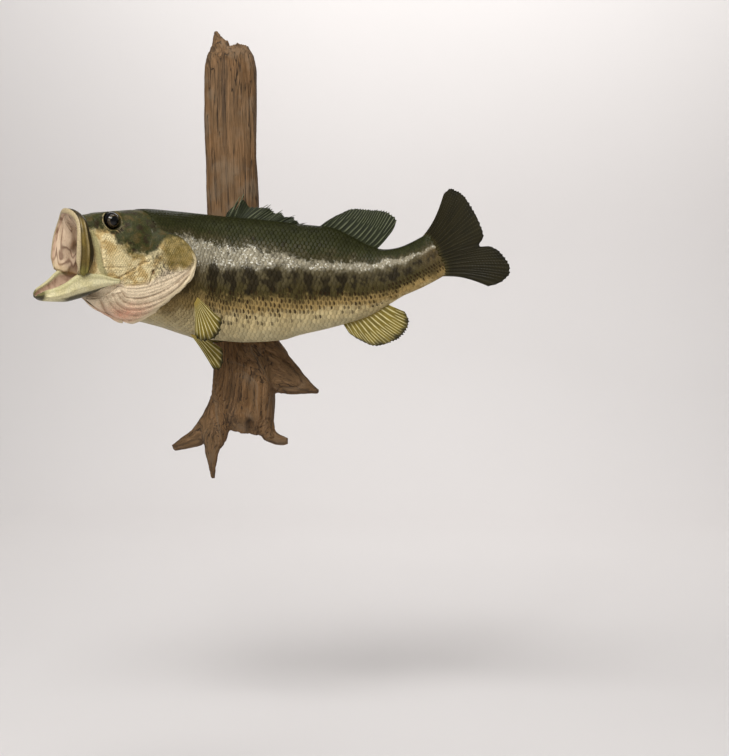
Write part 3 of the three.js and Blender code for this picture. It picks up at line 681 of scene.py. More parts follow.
class Mixer:
    """Mixes one finish: a node material put together a step at a time."""

    def __init__(self, name: str, **constants: float) -> None:
        """Starts a finish.

        Args:
            name: The material's name.
            constants: Values for the shader's own sockets, with _ for spaces.
        """
        self.material = bpy.data.materials.new(name)
        self.material.use_nodes = True
        self.tree = self.material.node_tree
        self.shader = self.tree.nodes["Principled BSDF"]
        for socket, value in constants.items():
            self.shader.inputs[socket.replace("_", " ")].default_value = value

    def node(
        self, kind: str, inputs: dict[int | str, Value | Tint] | None = None, **settings: object
    ) -> bpy.types.Node:
        """Adds a node with its settings and inputs."""
        made = self.tree.nodes.new(kind)
        for name, value in settings.items():
            setattr(made, name, value)
        for key, value in (inputs or {}).items():
            self.feed(made.inputs[key], value)
        return made

    def feed(self, socket: Socket, value: Value | Tint) -> None:
        """Gives a socket a value, the colour of a paint code or another socket's result."""
        if isinstance(value, bpy.types.NodeSocket):
            self.tree.links.new(value, socket)
        else:
            socket.default_value = tint(value) if isinstance(value, str) else value

    def attribute(self, name: str) -> Socket:
        """Reads a vector attribute of the piece."""
        return self.node("ShaderNodeAttribute", attribute_name=name).outputs["Vector"]

    def place(self) -> Socket:
        """Reads the piece's own coordinates, in metres."""
        return self.node("ShaderNodeTexCoord").outputs["Object"]

    def split(self, vector: Socket) -> tuple[Socket, Socket, Socket]:
        """Splits a vector into its numbers."""
        return tuple(self.node("ShaderNodeSeparateXYZ", {0: vector}).outputs)

    def point(self, x: Value, y: Value, z: Value = 0.0) -> Socket:
        """Puts three numbers together as a vector."""
        return self.node("ShaderNodeCombineXYZ", {0: x, 1: y, 2: z}).outputs[0]

    def math(self, operation: str, a: Value, b: Value = 0.0, c: Value = 0.0) -> Socket:
        """Works out one sum."""
        return self.node("ShaderNodeMath", {0: a, 1: b, 2: c}, operation=operation).outputs[0]

    def add(self, a: Value, b: Value) -> Socket:
        """Adds two numbers."""
        return self.math("ADD", a, b)

    def times(self, a: Value, b: Value) -> Socket:
        """Multiplies two numbers."""
        return self.math("MULTIPLY", a, b)

    def swing(self, value: Value, amount: float) -> Socket:
        """How far a noise swings from its middle, times an amount."""
        return self.times(self.math("SUBTRACT", value, 0.5), amount)

    def either(self, a: Value, b: Value) -> Socket:
        """Takes the larger of two numbers."""
        return self.math("MAXIMUM", a, b)

    def rest(self, a: Value) -> Socket:
        """What is left of 1."""
        return self.math("SUBTRACT", 1.0, a)

    def rise(self, value: Value, low: float, high: float, start: float = 0.0, end: float = 1.0) -> Socket:
        """Goes smoothly from start to end as value goes from low to high; low may be the larger."""
        if low > high:
            low, high, start, end = high, low, end, start
        limits = {0: value, 1: low, 2: high, 3: start, 4: end}
        return self.node("ShaderNodeMapRange", limits, interpolation_type="SMOOTHSTEP").outputs[0]

    def band(self, value: Value, centre: Value, half: float, soft: float) -> Socket:
        """1 within half of the centre, falling to 0 over a soft edge."""
        away = self.math("ABSOLUTE", self.math("SUBTRACT", value, centre))
        return self.rise(away, half + soft, half)

    def disc(
        self, s: Value, z: Value, centre: tuple[float, float], size: tuple[float, float], soft: float
    ) -> Socket:
        """1 inside an oval, falling to 0 over a soft edge, which is a share of the size."""
        across = self.times(self.math("SUBTRACT", s, centre[0]), 1 / size[0])
        up = self.times(self.math("SUBTRACT", z, centre[1]), 1 / size[1])
        away = self.math("SQRT", self.add(self.times(across, across), self.times(up, up)))
        return self.rise(away, 1 + soft, 1 - soft)

    def noise(
        self, vector: Socket, scale: float, detail: float = 3.0, rough: float = 0.55, warp: float = 0.0
    ) -> Socket:
        """Soft fractal noise, about 0.25 to 0.75."""
        inputs = {"Vector": vector, "Scale": scale, "Detail": detail, "Roughness": rough, "Distortion": warp}
        return self.node("ShaderNodeTexNoise", inputs).outputs[0]

    def cells(self, vector: Socket, scale: float) -> Socket:
        """Distance to the nearest of scattered points."""
        return self.node("ShaderNodeTexVoronoi", {"Vector": vector, "Scale": scale}).outputs["Distance"]

    def stretch(self, vector: Socket, scale: tuple[float, float, float]) -> Socket:
        """Stretches a pattern by giving each axis its own scale."""
        return self.node("ShaderNodeMapping", {"Vector": vector, "Scale": scale}).outputs[0]

    def blend(self, share: Value, low: Tint, high: Tint, kind: str = "MIX") -> Socket:
        """Mixes two colours."""
        made = self.node("ShaderNodeMix", data_type="RGBA", blend_type=kind)
        for name, value in (("Factor_Float", share), ("A_Color", low), ("B_Color", high)):
            self.feed(next(socket for socket in made.inputs if socket.identifier == name), value)
        return next(socket for socket in made.outputs if socket.identifier == "Result_Color")

    def ramp(self, share: Value, stops: Sequence[tuple[float, str]], kind: str = "EASE") -> Socket:
        """Reads a colour ramp with paint codes at its stops."""
        made = self.node("ShaderNodeValToRGB", {0: share})
        made.color_ramp.interpolation = kind
        elements = made.color_ramp.elements
        while len(elements) < len(stops):
            elements.new(0.5)
        for element, (position, code) in zip(elements, stops):
            element.position, element.color = position, tint(code)
        return made.outputs[0]

    def bump(self, height: Value, depth: float, below: Socket | None = None) -> Socket:
        """Turns a height into relief of a depth in metres, over an earlier relief."""
        made = self.node("ShaderNodeBump", {"Height": height, "Distance": depth, "Strength": 1.0})
        if below is not None:
            self.feed(made.inputs["Normal"], below)
        return made.outputs[0]

    def done(self, colour: Tint, roughness: Value, relief: Socket | None = None) -> Material:
        """Connects the shader and hands over the material."""
        self.feed(self.shader.inputs["Base Color"], colour)
        self.feed(self.shader.inputs["Roughness"], roughness)
        if relief is not None:
            self.feed(self.shader.inputs["Normal"], relief)
        return self.material


@dataclass(frozen=True)
class FishPaint:
    """The painted fish: markings shared by the skin, the scales and the gill covers."""

    back: str = "2a2b14"
    back_deep: str = "20210c"
    shoulder: str = "3c3722"
    silver: str = "8c846f"
    silver_low: str = "4e4631"
    # The colour of the painted glints on the silver band.
    glint: str = "f0ede0"
    flank: str = "40381e"
    gold: str = "988050"
    cream: str = "bcaa7e"
    belly: str = "b0a480"
    blotch: str = "231d12"
    dash: str = "251809"
    cheek: str = "e6d4a4"
    ochre: str = "bd9f66"
    face_dark: str = "221c10"
    face_green: str = "2b3117"
    face_bronze: str = "463c1e"
    olive: str = "66561f"
    bronze: str = "98824a"
    stripe: str = "a39a6c"
    flesh: str = "e4d0b0"
    pink: str = "e6ab8e"
    brown: str = "57462a"
    grey: str = "5f5745"
    # Multiplied into the creases as painted shade.
    fold: str = "8a6c50"
    rim: str = "c6b694"
    lining: str = "d2ba9e"
    # The lining's deep and fold colours are painted shade in its folds.
    lining_deep: str = "a58c72"
    lining_fold: str = "6f5140"

    def body(self, mix: Mixer, form: Socket, chance: Value = 0.5) -> Socket:
        """Mixes the trunk's colour from its level and blotches."""
        level, blotch, _ = mix.split(mix.attribute("tone"))
        _, _, brown = mix.split(mix.attribute("flesh"))
        drift = mix.noise(form, 0.6, 4.0)
        fine = mix.noise(form, 2.6, 4.0)
        shift = mix.add(mix.swing(drift, 0.1), mix.swing(fine, 0.16))
        shift = mix.add(shift, mix.swing(chance, 0.03))
        base = mix.ramp(
            mix.add(level, shift),
            [
                (0.0, self.belly), (0.15, self.cream), (0.28, self.gold), (0.42, self.flank),
                (0.56, self.silver_low), (0.67, self.silver), (0.76, self.silver), (0.82, self.shoulder),
                (0.89, self.back), (1.0, self.back_deep),
            ],
        )
        # The brown includes painted shade behind the gill covers.
        base = mix.blend(mix.times(brown, 0.75), base, self.brown)
        ragged = mix.add(blotch, mix.swing(fine, 0.8))
        ragged = mix.add(ragged, mix.swing(chance, 0.45))
        return mix.blend(mix.times(mix.rise(ragged, 0.06, 1.0), 0.92), base, self.blotch)

    def head(self, mix: Mixer, form: Socket) -> Socket:
        """Mixes the head's colour from its patches, with painted shade in its creases."""
        dark, olive, stripe = mix.split(mix.attribute("face"))
        flesh, pink, brown = mix.split(mix.attribute("flesh"))
        crease, gold, grey = mix.split(mix.attribute("line"))
        fine = mix.noise(form, 3.2, 4.0)
        wash = mix.noise(form, 0.9, 4.0)
        toned = mix.math("SUBTRACT", fine, 0.5)
        golden = mix.rise(mix.add(gold, mix.times(toned, 0.5)), 0.0, 1.0, 0.08, 0.92)
        cheek = mix.blend(golden, self.cheek, self.ochre)
        base = mix.blend(mix.times(stripe, 0.85), cheek, self.stripe)
        rosy = mix.blend(mix.times(pink, mix.rise(fine, 0.3, 0.7, 0.6, 1.0)), self.flesh, self.pink)
        base = mix.blend(flesh, base, rosy)
        bronze = mix.blend(mix.rise(mix.noise(form, 1.6, 4.0), 0.36, 0.62), self.olive, self.bronze)
        greenish = mix.rise(mix.add(olive, mix.times(toned, 0.7)), 0.0, 1.1)
        base = mix.blend(mix.times(greenish, 0.92), base, bronze)
        base = mix.blend(mix.times(grey, mix.rise(fine, 0.42, 0.6, 0.1, 0.9)), base, self.grey)
        dusk = mix.ramp(wash, [(0.38, self.face_dark), (0.5, self.face_green), (0.66, self.face_bronze)])
        ragged = mix.add(dark, mix.times(toned, 0.8))
        base = mix.blend(mix.times(mix.rise(ragged, 0.1, 0.95), 0.97), base, dusk)
        # On the skin the brown includes painted shade behind the gill covers.
        base = mix.blend(mix.times(brown, 0.85), base, self.brown)
        speckle = mix.noise(form, 7.0, 3.0)
        base = mix.blend(0.6, base, mix.ramp(speckle, [(0.35, "b8b8b8"), (0.65, "ffffff")]), "MULTIPLY")
        # Painted shade in the creases: the colour is multiplied by the fold colour as far as each crease is
        # deep.
        shaded = mix.blend(1.0, base, self.fold, "MULTIPLY")
        fold_shade = mix.times(crease, mix.rise(mix.noise(form, 1.1, 2.0), 0.3, 0.65, 0.25, 0.85))
        return mix.blend(mix.math("MINIMUM", fold_shade, 0.95), base, shaded)

    def skin(self, name: str) -> Material:
        """The skin under the scales, on the head and in the mouth."""
        mix = Mixer(name, Coat_Weight=0.03, Coat_Roughness=0.2, Specular_IOR_Level=0.07)
        form = mix.attribute("form")
        _, lining, _ = mix.split(mix.attribute("girth"))
        _, _, head = mix.split(mix.attribute("tone"))
        # Painted shade in the mouth's lining: darker patches and thin dark curved lines for its folds.
        folds = mix.rise(mix.noise(mix.stretch(form, (0.5, 1.2, 0.5)), 0.9, 3.0), 0.3, 0.6, 0.35, 1.0)
        mouth = mix.blend(folds, self.lining_deep, self.lining)
        wavy = mix.noise(mix.stretch(form, (0.45, 1.0, 0.3)), 0.7, 1.5, 0.5, 0.8)
        lines = mix.either(mix.band(wavy, 0.46, 0.004, 0.03), mix.band(wavy, 0.56, 0.003, 0.025))
        mouth = mix.blend(mix.times(lines, 0.75), mouth, self.lining_fold)
        colour = mix.blend(lining, mix.blend(head, self.body(mix, form), self.head(mix, form)), mouth)
        grain = mix.noise(form, 9.0, 4.0)
        relief = mix.bump(mix.cells(form, 4.5), 0.0003)
        relief = mix.bump(grain, 0.0004, relief)
        return mix.done(colour, mix.rise(grain, 0.3, 0.7, 0.34, 0.52), relief)

    def scales(self) -> Material:
        """The scales, which add dark dashes below and painted glints above."""
        mix = Mixer("bass_scales", Coat_Weight=0.02, Coat_Roughness=0.24, Specular_IOR_Level=0.06)
        form = mix.attribute("form")
        leaf = mix.attribute("leaf")
        leaf_u, leaf_v, _ = mix.split(leaf)
        dash, chance, shine = mix.split(mix.attribute("cell"))
        level, _, _ = mix.split(mix.attribute("tone"))
        base = self.body(mix, form, chance)
        shade = mix.rise(shine, 0.0, 1.0, 0.84, 1.12)
        base = mix.blend(1.0, base, mix.point(shade, shade, shade), "MULTIPLY")
        # Painted glints: pale flecks that stand for the light glittering off the silver scales.
        sparks = mix.rise(mix.noise(form, 4.2, 2.0), 0.52, 0.66)
        clumps = mix.rise(mix.noise(form, 0.7, 3.0), 0.35, 0.6, 0.35, 1.0)
        silvery = mix.band(level, 0.71, 0.06, 0.06)
        lucky = mix.rise(shine, 0.1, 0.8, 0.25, 1.0)
        bright = mix.times(silvery, mix.times(mix.times(sparks, clumps), lucky))
        base = mix.blend(mix.times(bright, 0.8), base, self.glint)
        rim = mix.times(mix.rise(leaf_u, 0.84, 1.0), 0.09)
        base = mix.blend(rim, base, self.back)
        along = mix.add(leaf_u, mix.swing(chance, 0.14))
        across = mix.add(leaf_v, mix.swing(shine, 0.3))
        spot = mix.disc(along, across, (0.69, 0.0), (0.13, 0.54), 0.3)
        base = mix.blend(mix.times(mix.times(spot, dash), 0.95), base, self.dash)
        rays = mix.noise(mix.stretch(leaf, (1.0, 9.0, 1.0)), 1.2, 2.0)
        relief = mix.bump(rays, 0.00012)
        return mix.done(base, mix.rise(mix.noise(form, 3.0), 0.3, 0.7, 0.32, 0.48), relief)

    def gill(self, name: str) -> Material:
        """The gill covers and the face's small scales: the head's markings, with a pale soft rim."""
        mix = Mixer(name, Coat_Weight=0.05, Coat_Roughness=0.2, Specular_IOR_Level=0.1)
        form = mix.attribute("form")
        _, rim, inner = mix.split(mix.attribute("cover"))
        _, _, z = mix.split(form)
        base = self.head(mix, form)
        pale = mix.times(mix.rise(rim, 0.87, 0.95), mix.rise(z, 3.3, 2.3))
        base = mix.blend(mix.times(pale, 0.75), base, self.rim)
        base = mix.blend(inner, base, self.lining)
        grain = mix.noise(form, 7.0, 4.0)
        relief = mix.bump(grain, 0.0005)
        return mix.done(base, mix.rise(grain, 0.3, 0.7, 0.3, 0.5), relief)


@dataclass(frozen=True)
class JawPaint:
    """The jaws: bone plates, a pale lip and a pink lining."""

    name: str
    light: str
    plate: str
    dark: str
    foot: str
    lip: str = "b8a682"
    lining: str = "cbae95"
    deep: str = "84654f"

    def material(self) -> Material:
        """Mixes the finish from the attribute "jaw": lining, lip and how dark the bone is, which on the lower
        jaw includes painted shade on its underside.
        """
        mix = Mixer(self.name, Coat_Weight=0.08, Coat_Roughness=0.2, Specular_IOR_Level=0.14)
        form = mix.attribute("form")
        _, _, z = mix.split(form)
        lining, lip, dark = mix.split(mix.attribute("jaw"))
        streak = mix.noise(mix.stretch(form, (0.55, 0.8, 0.4)), 1.5, 4.0)
        fine = mix.noise(form, 6.0, 4.0)
        bone = mix.blend(mix.rise(streak, 0.36, 0.66), self.light, self.plate)
        bone = mix.blend(mix.times(mix.rise(z, 2.0, 0.9), 0.7), bone, self.foot)
        ragged = mix.add(dark, mix.swing(streak, 0.5))
        bone = mix.blend(mix.times(mix.rise(ragged, 0.3, 0.95), 0.95), bone, self.dark)
        bone = mix.blend(mix.times(lip, 0.9), bone, self.lip)
        bone = mix.blend(0.5, bone, mix.ramp(fine, [(0.35, "bcbcbc"), (0.65, "ffffff")]), "MULTIPLY")
        mouth = mix.blend(mix.rise(streak, 0.3, 0.6), self.deep, self.lining)
        base = mix.blend(lining, bone, mouth)
        relief = mix.bump(fine, 0.0005)
        return mix.done(base, mix.rise(fine, 0.3, 0.7, 0.28, 0.46), relief)


UPPER_JAW = JawPaint("upper_jaw", light="75622f", plate="5c4d28", dark="2a2312", foot="7d753a")
LOWER_JAW = JawPaint("lower_jaw", light="f0e8c2", plate="c0b27a", dark="2e2914", foot="dcd2a4", lip="8d8654")


@dataclass(frozen=True)
class MouthPaint:
    """The throat and tongue: moist flesh, with painted shade in its folds."""

    name: str = "mouth_flesh"
    flesh: str = "b3957e"
    deep: str = "6a4c3c"
    outer: str = "5a5238"

    def material(self) -> Material:
        """Mixes the finish."""
        mix = Mixer(self.name, Coat_Weight=0.3, Coat_Roughness=0.25, Specular_IOR_Level=0.5)
        form = mix.attribute("form")
        s, _, z = mix.split(form)
        folds = mix.noise(mix.stretch(form, (0.6, 2.0, 2.0)), 2.0, 4.0)
        # Painted shade: darker where the folds' relief sinks.
        base = mix.blend(mix.rise(folds, 0.35, 0.65), self.deep, self.flesh)
        under = mix.rise(mix.add(z, mix.times(s, 0.3)), -1.2, -2.4)
        base = mix.blend(under, base, self.outer)
        relief = mix.bump(folds, 0.0012)
        return mix.done(base, mix.rise(folds, 0.3, 0.7, 0.3, 0.5), relief)


@dataclass(frozen=True)
class FinPaint:
    """A fin: a thin web between rays, darker along its edge."""

    name: str
    web: str
    ray: str
    edge: str
    root: str
    edge_start: float = 0.75
    smoke: float = 0.6
    ray_share: float = 1.0

    def material(self) -> Material:
        """Mixes the finish from the attribute "ray": share of the base, reach and ridge."""
        mix = Mixer(self.name, Coat_Weight=0.05, Coat_Roughness=0.2, Specular_IOR_Level=0.1)
        share, reach, ridge = mix.split(mix.attribute("ray"))
        fan = mix.point(mix.times(share, 6.0), mix.times(reach, 1.5), 0.0)
        patch = mix.noise(fan, 1.6, 4.0)
        fine = mix.noise(mix.point(mix.times(share, 60.0), mix.times(reach, 3.0)), 1.0, 3.0)
        base = mix.blend(mix.rise(patch, 0.35, 0.7, 0.0, self.smoke), self.web, self.edge)
        shown_ray = mix.times(mix.rise(ridge, 0.35, 0.9), mix.rise(fine, 0.35, 0.6, 0.45, 1.0))
        base = mix.blend(mix.times(shown_ray, self.ray_share), base, self.ray)
        far = mix.rise(mix.add(reach, mix.swing(patch, 0.5)), self.edge_start, self.edge_start + 0.25)
        base = mix.blend(far, base, self.edge)
        base = mix.blend(mix.rise(reach, 0.18, 0.0), base, self.root)
        joints = mix.math("SINE", mix.times(reach, 150.0))
        relief = mix.bump(mix.times(joints, ridge), 0.0002)
        relief = mix.bump(fine, 0.0003, relief)
        return mix.done(base, mix.rise(fine, 0.3, 0.7, 0.3, 0.5), relief)


DARK_FIN = FinPaint("dark_fin", "1f230f", "7b7f62", "15170f", "23270f", edge_start=0.95, ray_share=0.62)
TAIL_FIN = FinPaint("tail_fin", "231f0f", "3e3823", "17150a", "4a4224", edge_start=0.85, ray_share=0.3)
PALE_FIN = FinPaint("pale_fin", "756629", "cdc08c", "2b2612", "94803f", edge_start=0.74, smoke=0.45)


@dataclass(frozen=True)
class EyePaint:
    """A glass eye: black pupil, a thin gold ring and a dark iris under clear gloss."""

    pupil: str = "050505"
    iris: str = "1e170e"
    ring: str = "5f4d2c"

    def material(self) -> Material:
        """Mixes the finish from the attribute "iris": distance from the pupil's middle, and turn."""
        mix = Mixer("glass_eye", Coat_Weight=0.3, Coat_Roughness=0.04, Specular_IOR_Level=0.15)
        away, turn, _ = mix.split(mix.attribute("iris"))
        spokes = mix.noise(mix.point(mix.times(away, 2.0), mix.times(turn, 9.0)), 2.0, 4.0)
        iris = mix.blend(mix.rise(spokes, 0.4, 0.7, 0.0, 0.6), self.iris, self.ring)
        iris = mix.blend(mix.rise(away, 0.7, 0.88), iris, self.pupil)
        base = mix.blend(mix.rise(away, 0.55, 0.6), self.pupil, iris)
        base = mix.blend(mix.times(mix.band(away, 0.6, 0.012, 0.02), 0.7), base, self.ring)
        return mix.done(base, mix.rise(spokes, 0.3, 0.7, 0.12, 0.2), mix.bump(spokes, 0.0001))


@dataclass(frozen=True)
class WoodPaint:
    """Dry driftwood: brown, with pale and dark grain along each limb."""

    mid: str = "634b30"
    pale: str = "88694a"
    dark: str = "33271b"
    warm: str = "6b4e2f"
    grey: str = "76644f"

    def material(self) -> Material:
        """Mixes the finish from the attribute "grain": across, across and along each limb, in centimetres."""
        mix = Mixer("driftwood", Specular_IOR_Level=0.25)
        grain = mix.attribute("grain")
        long = mix.stretch(grain, (1.0, 1.0, 0.06))
        broad = mix.noise(long, 0.7, 4.0, 0.6, 0.4)
        fine = mix.noise(long, 4.5, 5.0, 0.6)
        hair = mix.noise(mix.stretch(grain, (1.0, 1.0, 0.03)), 13.0, 3.0, 0.6)
        split = mix.noise(mix.stretch(grain, (1.0, 1.0, 0.035)), 1.6, 2.0, 0.5, 0.3)
        tone = mix.noise(mix.stretch(grain, (0.6, 0.6, 0.3)), 0.5, 3.0)
        base = mix.blend(mix.rise(tone, 0.38, 0.62), self.mid, self.warm)
        base = mix.blend(mix.rise(broad, 0.5, 0.36, 0.0, 0.65), base, self.dark)
        base = mix.blend(mix.rise(fine, 0.45, 0.68, 0.0, 0.65), base, self.pale)
        base = mix.blend(mix.rise(hair, 0.52, 0.66, 0.0, 0.6), base, self.dark)
        # Painted shade in the cracks: they are darkened as well as sunk by the relief.
        cracks = mix.band(split, 0.5, 0.004, 0.012)
        base = mix.blend(mix.times(cracks, 0.85), base, self.dark)
        dust = mix.noise(grain, 0.3, 3.0)
        base = mix.blend(mix.rise(dust, 0.5, 0.68, 0.0, 0.5), base, self.grey)
        relief = mix.bump(cracks, -0.002)
        relief = mix.bump(hair, 0.0006, relief)
        relief = mix.bump(fine, 0.0012, relief)
        return mix.done(base, mix.rise(fine, 0.3, 0.7, 0.66, 0.88), relief)


@dataclass(frozen=True)
class StagePaint:
    """The pale floor and backdrop."""

    pale: str = "dedad8"
    shade: str = "d8d4d2"

    def material(self) -> Material:
        """Mixes the finish."""
        mix = Mixer("pale_stage", Specular_IOR_Level=0.1)
        patch = mix.noise(mix.place(), 0.8, 2.0)
        return mix.done(mix.blend(patch, self.pale, self.shade), mix.rise(patch, 0.3, 0.7, 0.8, 0.9))


# ---------------------------------------------------------------- the skin
@dataclass
class BodySkin:
    """One skin over head, trunk and tail stalk, with the mouth's roof and its folds."""

    columns: int = 345
    around: int = 200
    depth: float = 0.75  # of the scales over it
    front: float = -2.0
    nostrils: tuple[tuple[float, float, float], ...] = ((26, 69, 1.7), (32, 71, 1.4))  # station, height, size
    pores: tuple[tuple[float, float], ...] = ((38, 52), (48, 50), (58, 52), (67, 57), (76, 62))
    stations: SmoothCurve = SmoothCurve((0, -2), (0.56, 165), (0.97, 480), (1, 492))

    def relief(self, s: Array, z: Array) -> Array:
        """How far cheek, nostrils, pores and creases stand off the head's plain form."""
        nose = 0
        for a, b, size in self.nostrils:
            away = np.hypot(s - a, z - b)
            nose = nose + (0.7 * hump(away, size * 1.5, size * 0.45) - 1.6 * hump(away, 0, size))
        cheek = 2.0 * hump(s, 60, 16) * hump(z, 27, 20)
        stripe = STRIPE.away(s, z)
        pores = sum(-0.8 * hump(np.hypot(s - a, z - b), 0, 1.1) for a, b in self.pores)
        soft = smoothstep(s, 6, 12) * fall(s, 100, 120)
        return (nose + cheek + 1.2 * hump(stripe, 0, 3) + pores - MARKINGS.fold_depth(s, z)) * soft

    def socket(self, spots: Array, side: Array) -> Array:
        """Draws the skin in round the eye, with a raised rim."""
        s, y, z = np.moveaxis(spots, -1, 0)
        away = from_eye(s, z)
        slope = 20.2 - 4.8 * (z - EYE_Z) / EYE_RADIUS + 1.1 * (s - EYE_S) / EYE_RADIUS
        rim = slope + 0.9 * hump(away, 1.15, 0.09)
        drawn = fall(away, 1.15, 2.5)
        out = lerp(-y * side, rim, drawn)
        out = lerp(12.5, out, smoothstep(away, 0.93, 1.08))
        near = (away < 2.5) & (z > 30)
        spots[:, 1] = np.where(near, -out * side, y)
        return spots

    def sunk(self, s: Array) -> Array:
        """How far the skin lies under the body's form, to make room for the scales."""
        return -self.depth * smoothstep(s, 80, 120) - 0.35

    def shape(self, u: Array, v: Array) -> Weave:
        """Places the skin's corners: u along the fish, v round it."""
        s = self.stations(u)
        side = np.where(v < 0.5, 1.0, -1.0)
        share = np.where(v < 0.5, 2 * v, 2 - 2 * v)
        plain, lining = FORM.head_point(s, share, side)
        sunk = self.sunk(s)
        spots, _ = FORM.head_point(s, share, side, sunk + self.relief(s, plain[:, 2]) * (1 - lining))
        # The mouth's roof: long folds that lean towards the throat, and cross ridges.
        fold = 1.5 * np.sin(share * 34 - 0.16 * s + 1.2 * np.sin(s * 0.11))
        fold = fold + 0.6 * np.sin(s * 0.42 + share * 26)
        inner = (lining * smoothstep(s, 3, 14))[:, None]
        toward = unit(stack(0, -spots[:, 1], 20 - spots[:, 2]))
        spots = spots + toward * fold[:, None] * inner
        spots = self.socket(spots, side)
        partner = np.where(
            share < FORM.cheek_share,
            1 - share * (1 - FORM.cheek_share) / FORM.cheek_share,
            (1 - share) * FORM.cheek_share / (1 - FORM.cheek_share),
        )
        other, _ = FORM.head_point(s, partner, side, sunk)
        round_off = np.clip((s - self.front) / 1.5, 0, 1)
        pinch = 0.49 * (1 - np.sqrt(round_off * (2 - round_off)))
        spots = lerp(spots, other, pinch[:, None])
        return Weave(POSE.place(spots), {**body_layers(spots, lining), **MARKINGS.layers(spots)})

    def lift(self, s: Array, z: Array) -> Array:
        """How far the head's skin stands off its plain form."""
        return self.relief(s, z) + self.sunk(s)

    def build(self, paint: Material) -> Object:
        """Builds the skin in place of the nodes of flesh."""
        bm = closed(self.columns, self.around, self.shape)
        return piece(bm, "body_skin", paint, Slot.SKIN, "head", "trunk_front", "trunk_rear", "tail_stalk")


# ---------------------------------------------------------------- the scales
@dataclass
class ScaleLattice:
    """Where scales lie: columns along the body, rows at steady distances from the side line."""

    pitch: SmoothCurve = SmoothCurve((60, 3.2), (110, 4.4), (165, 5.6), (300, 5.6), (420, 4.8), (500, 3.6))
    row: SmoothCurve = SmoothCurve((60, 3.6), (110, 4.8), (165, 6.0), (300, 5.9), (420, 4.7), (500, 3.9))
    below: float = 1.1  # rows are wider below the side line and closer above it
    above: float = 0.9
    first: float = 60
    last: float = 500
    reach: float = 170

    def __post_init__(self) -> None:
        """Tables the columns' stations and the angle at each distance from the side line."""
        stations = [self.first]
        while stations[-1] < self.last:
            stations.append(stations[-1] + float(self.pitch(stations[-1])))
        self.columns = np.array(stations)
        self.table_s = np.arange(self.first - 10, self.last + 12, 4.0)
        self.table_arc = np.arange(-self.reach, self.reach + 1, 1.0)
        angles = np.linspace(-0.5, np.pi + 0.5, 420)
        table = []
        for s in self.table_s:
            spots = FORM.point(np.full_like(angles, s), angles)[:, 1:]
            arc = lengths(spots)
            inner = (angles > 0.05) & (angles < np.pi - 0.05)
            start = np.interp(-FORM.side_line(s), -spots[inner, 1], arc[inner])
            table.append(np.interp(self.table_arc, arc - start, angles))
        self.table = np.array(table)

    def angle(self, s: Array, arc: Array) -> Array:
        """The body's angle at a distance below the side line."""
        i = np.clip((s - self.table_s[0]) / 4.0, 0, len(self.table_s) - 1.001)
        j = np.clip(arc + self.reach, 0, len(self.table_arc) - 1.001)
        a, b = i.astype(int), j.astype(int)
        p, q = i - a, j - b
        upper = lerp(self.table[a, b], self.table[a + 1, b], p)
        lower = lerp(self.table[a, b + 1], self.table[a + 1, b + 1], p)
        return lerp(upper, lower, q)

    def drop(self, s: Array, row: Array) -> Array:
        """Distance of a row below the side line."""
        return row * self.row(s) * np.where(row > 0, self.below, self.above)

    def station(self, column: Array) -> Array:
        """The station of a column."""
        return np.interp(column, np.arange(len(self.columns)), self.columns)


GILL_FRONT = SmoothCurve((50, 92), (70, 80), (90, 68), (105, 56), (120, 45), (140, 34), (160, 27), (174, 24))
GILL_REAR = SmoothCurve(
    (50, 106), (60, 128), (70, 146), (81, 156), (93, 150), (111, 125), (126, 108), (143, 95), (163, 82),
    (174, 78),
)


LATTICE = ScaleLattice()
COAT_SEEDS = {Side.LEFT: 11, Side.RIGHT: 23}
FACE_SEEDS = {Side.LEFT: 31, Side.RIGHT: 37}


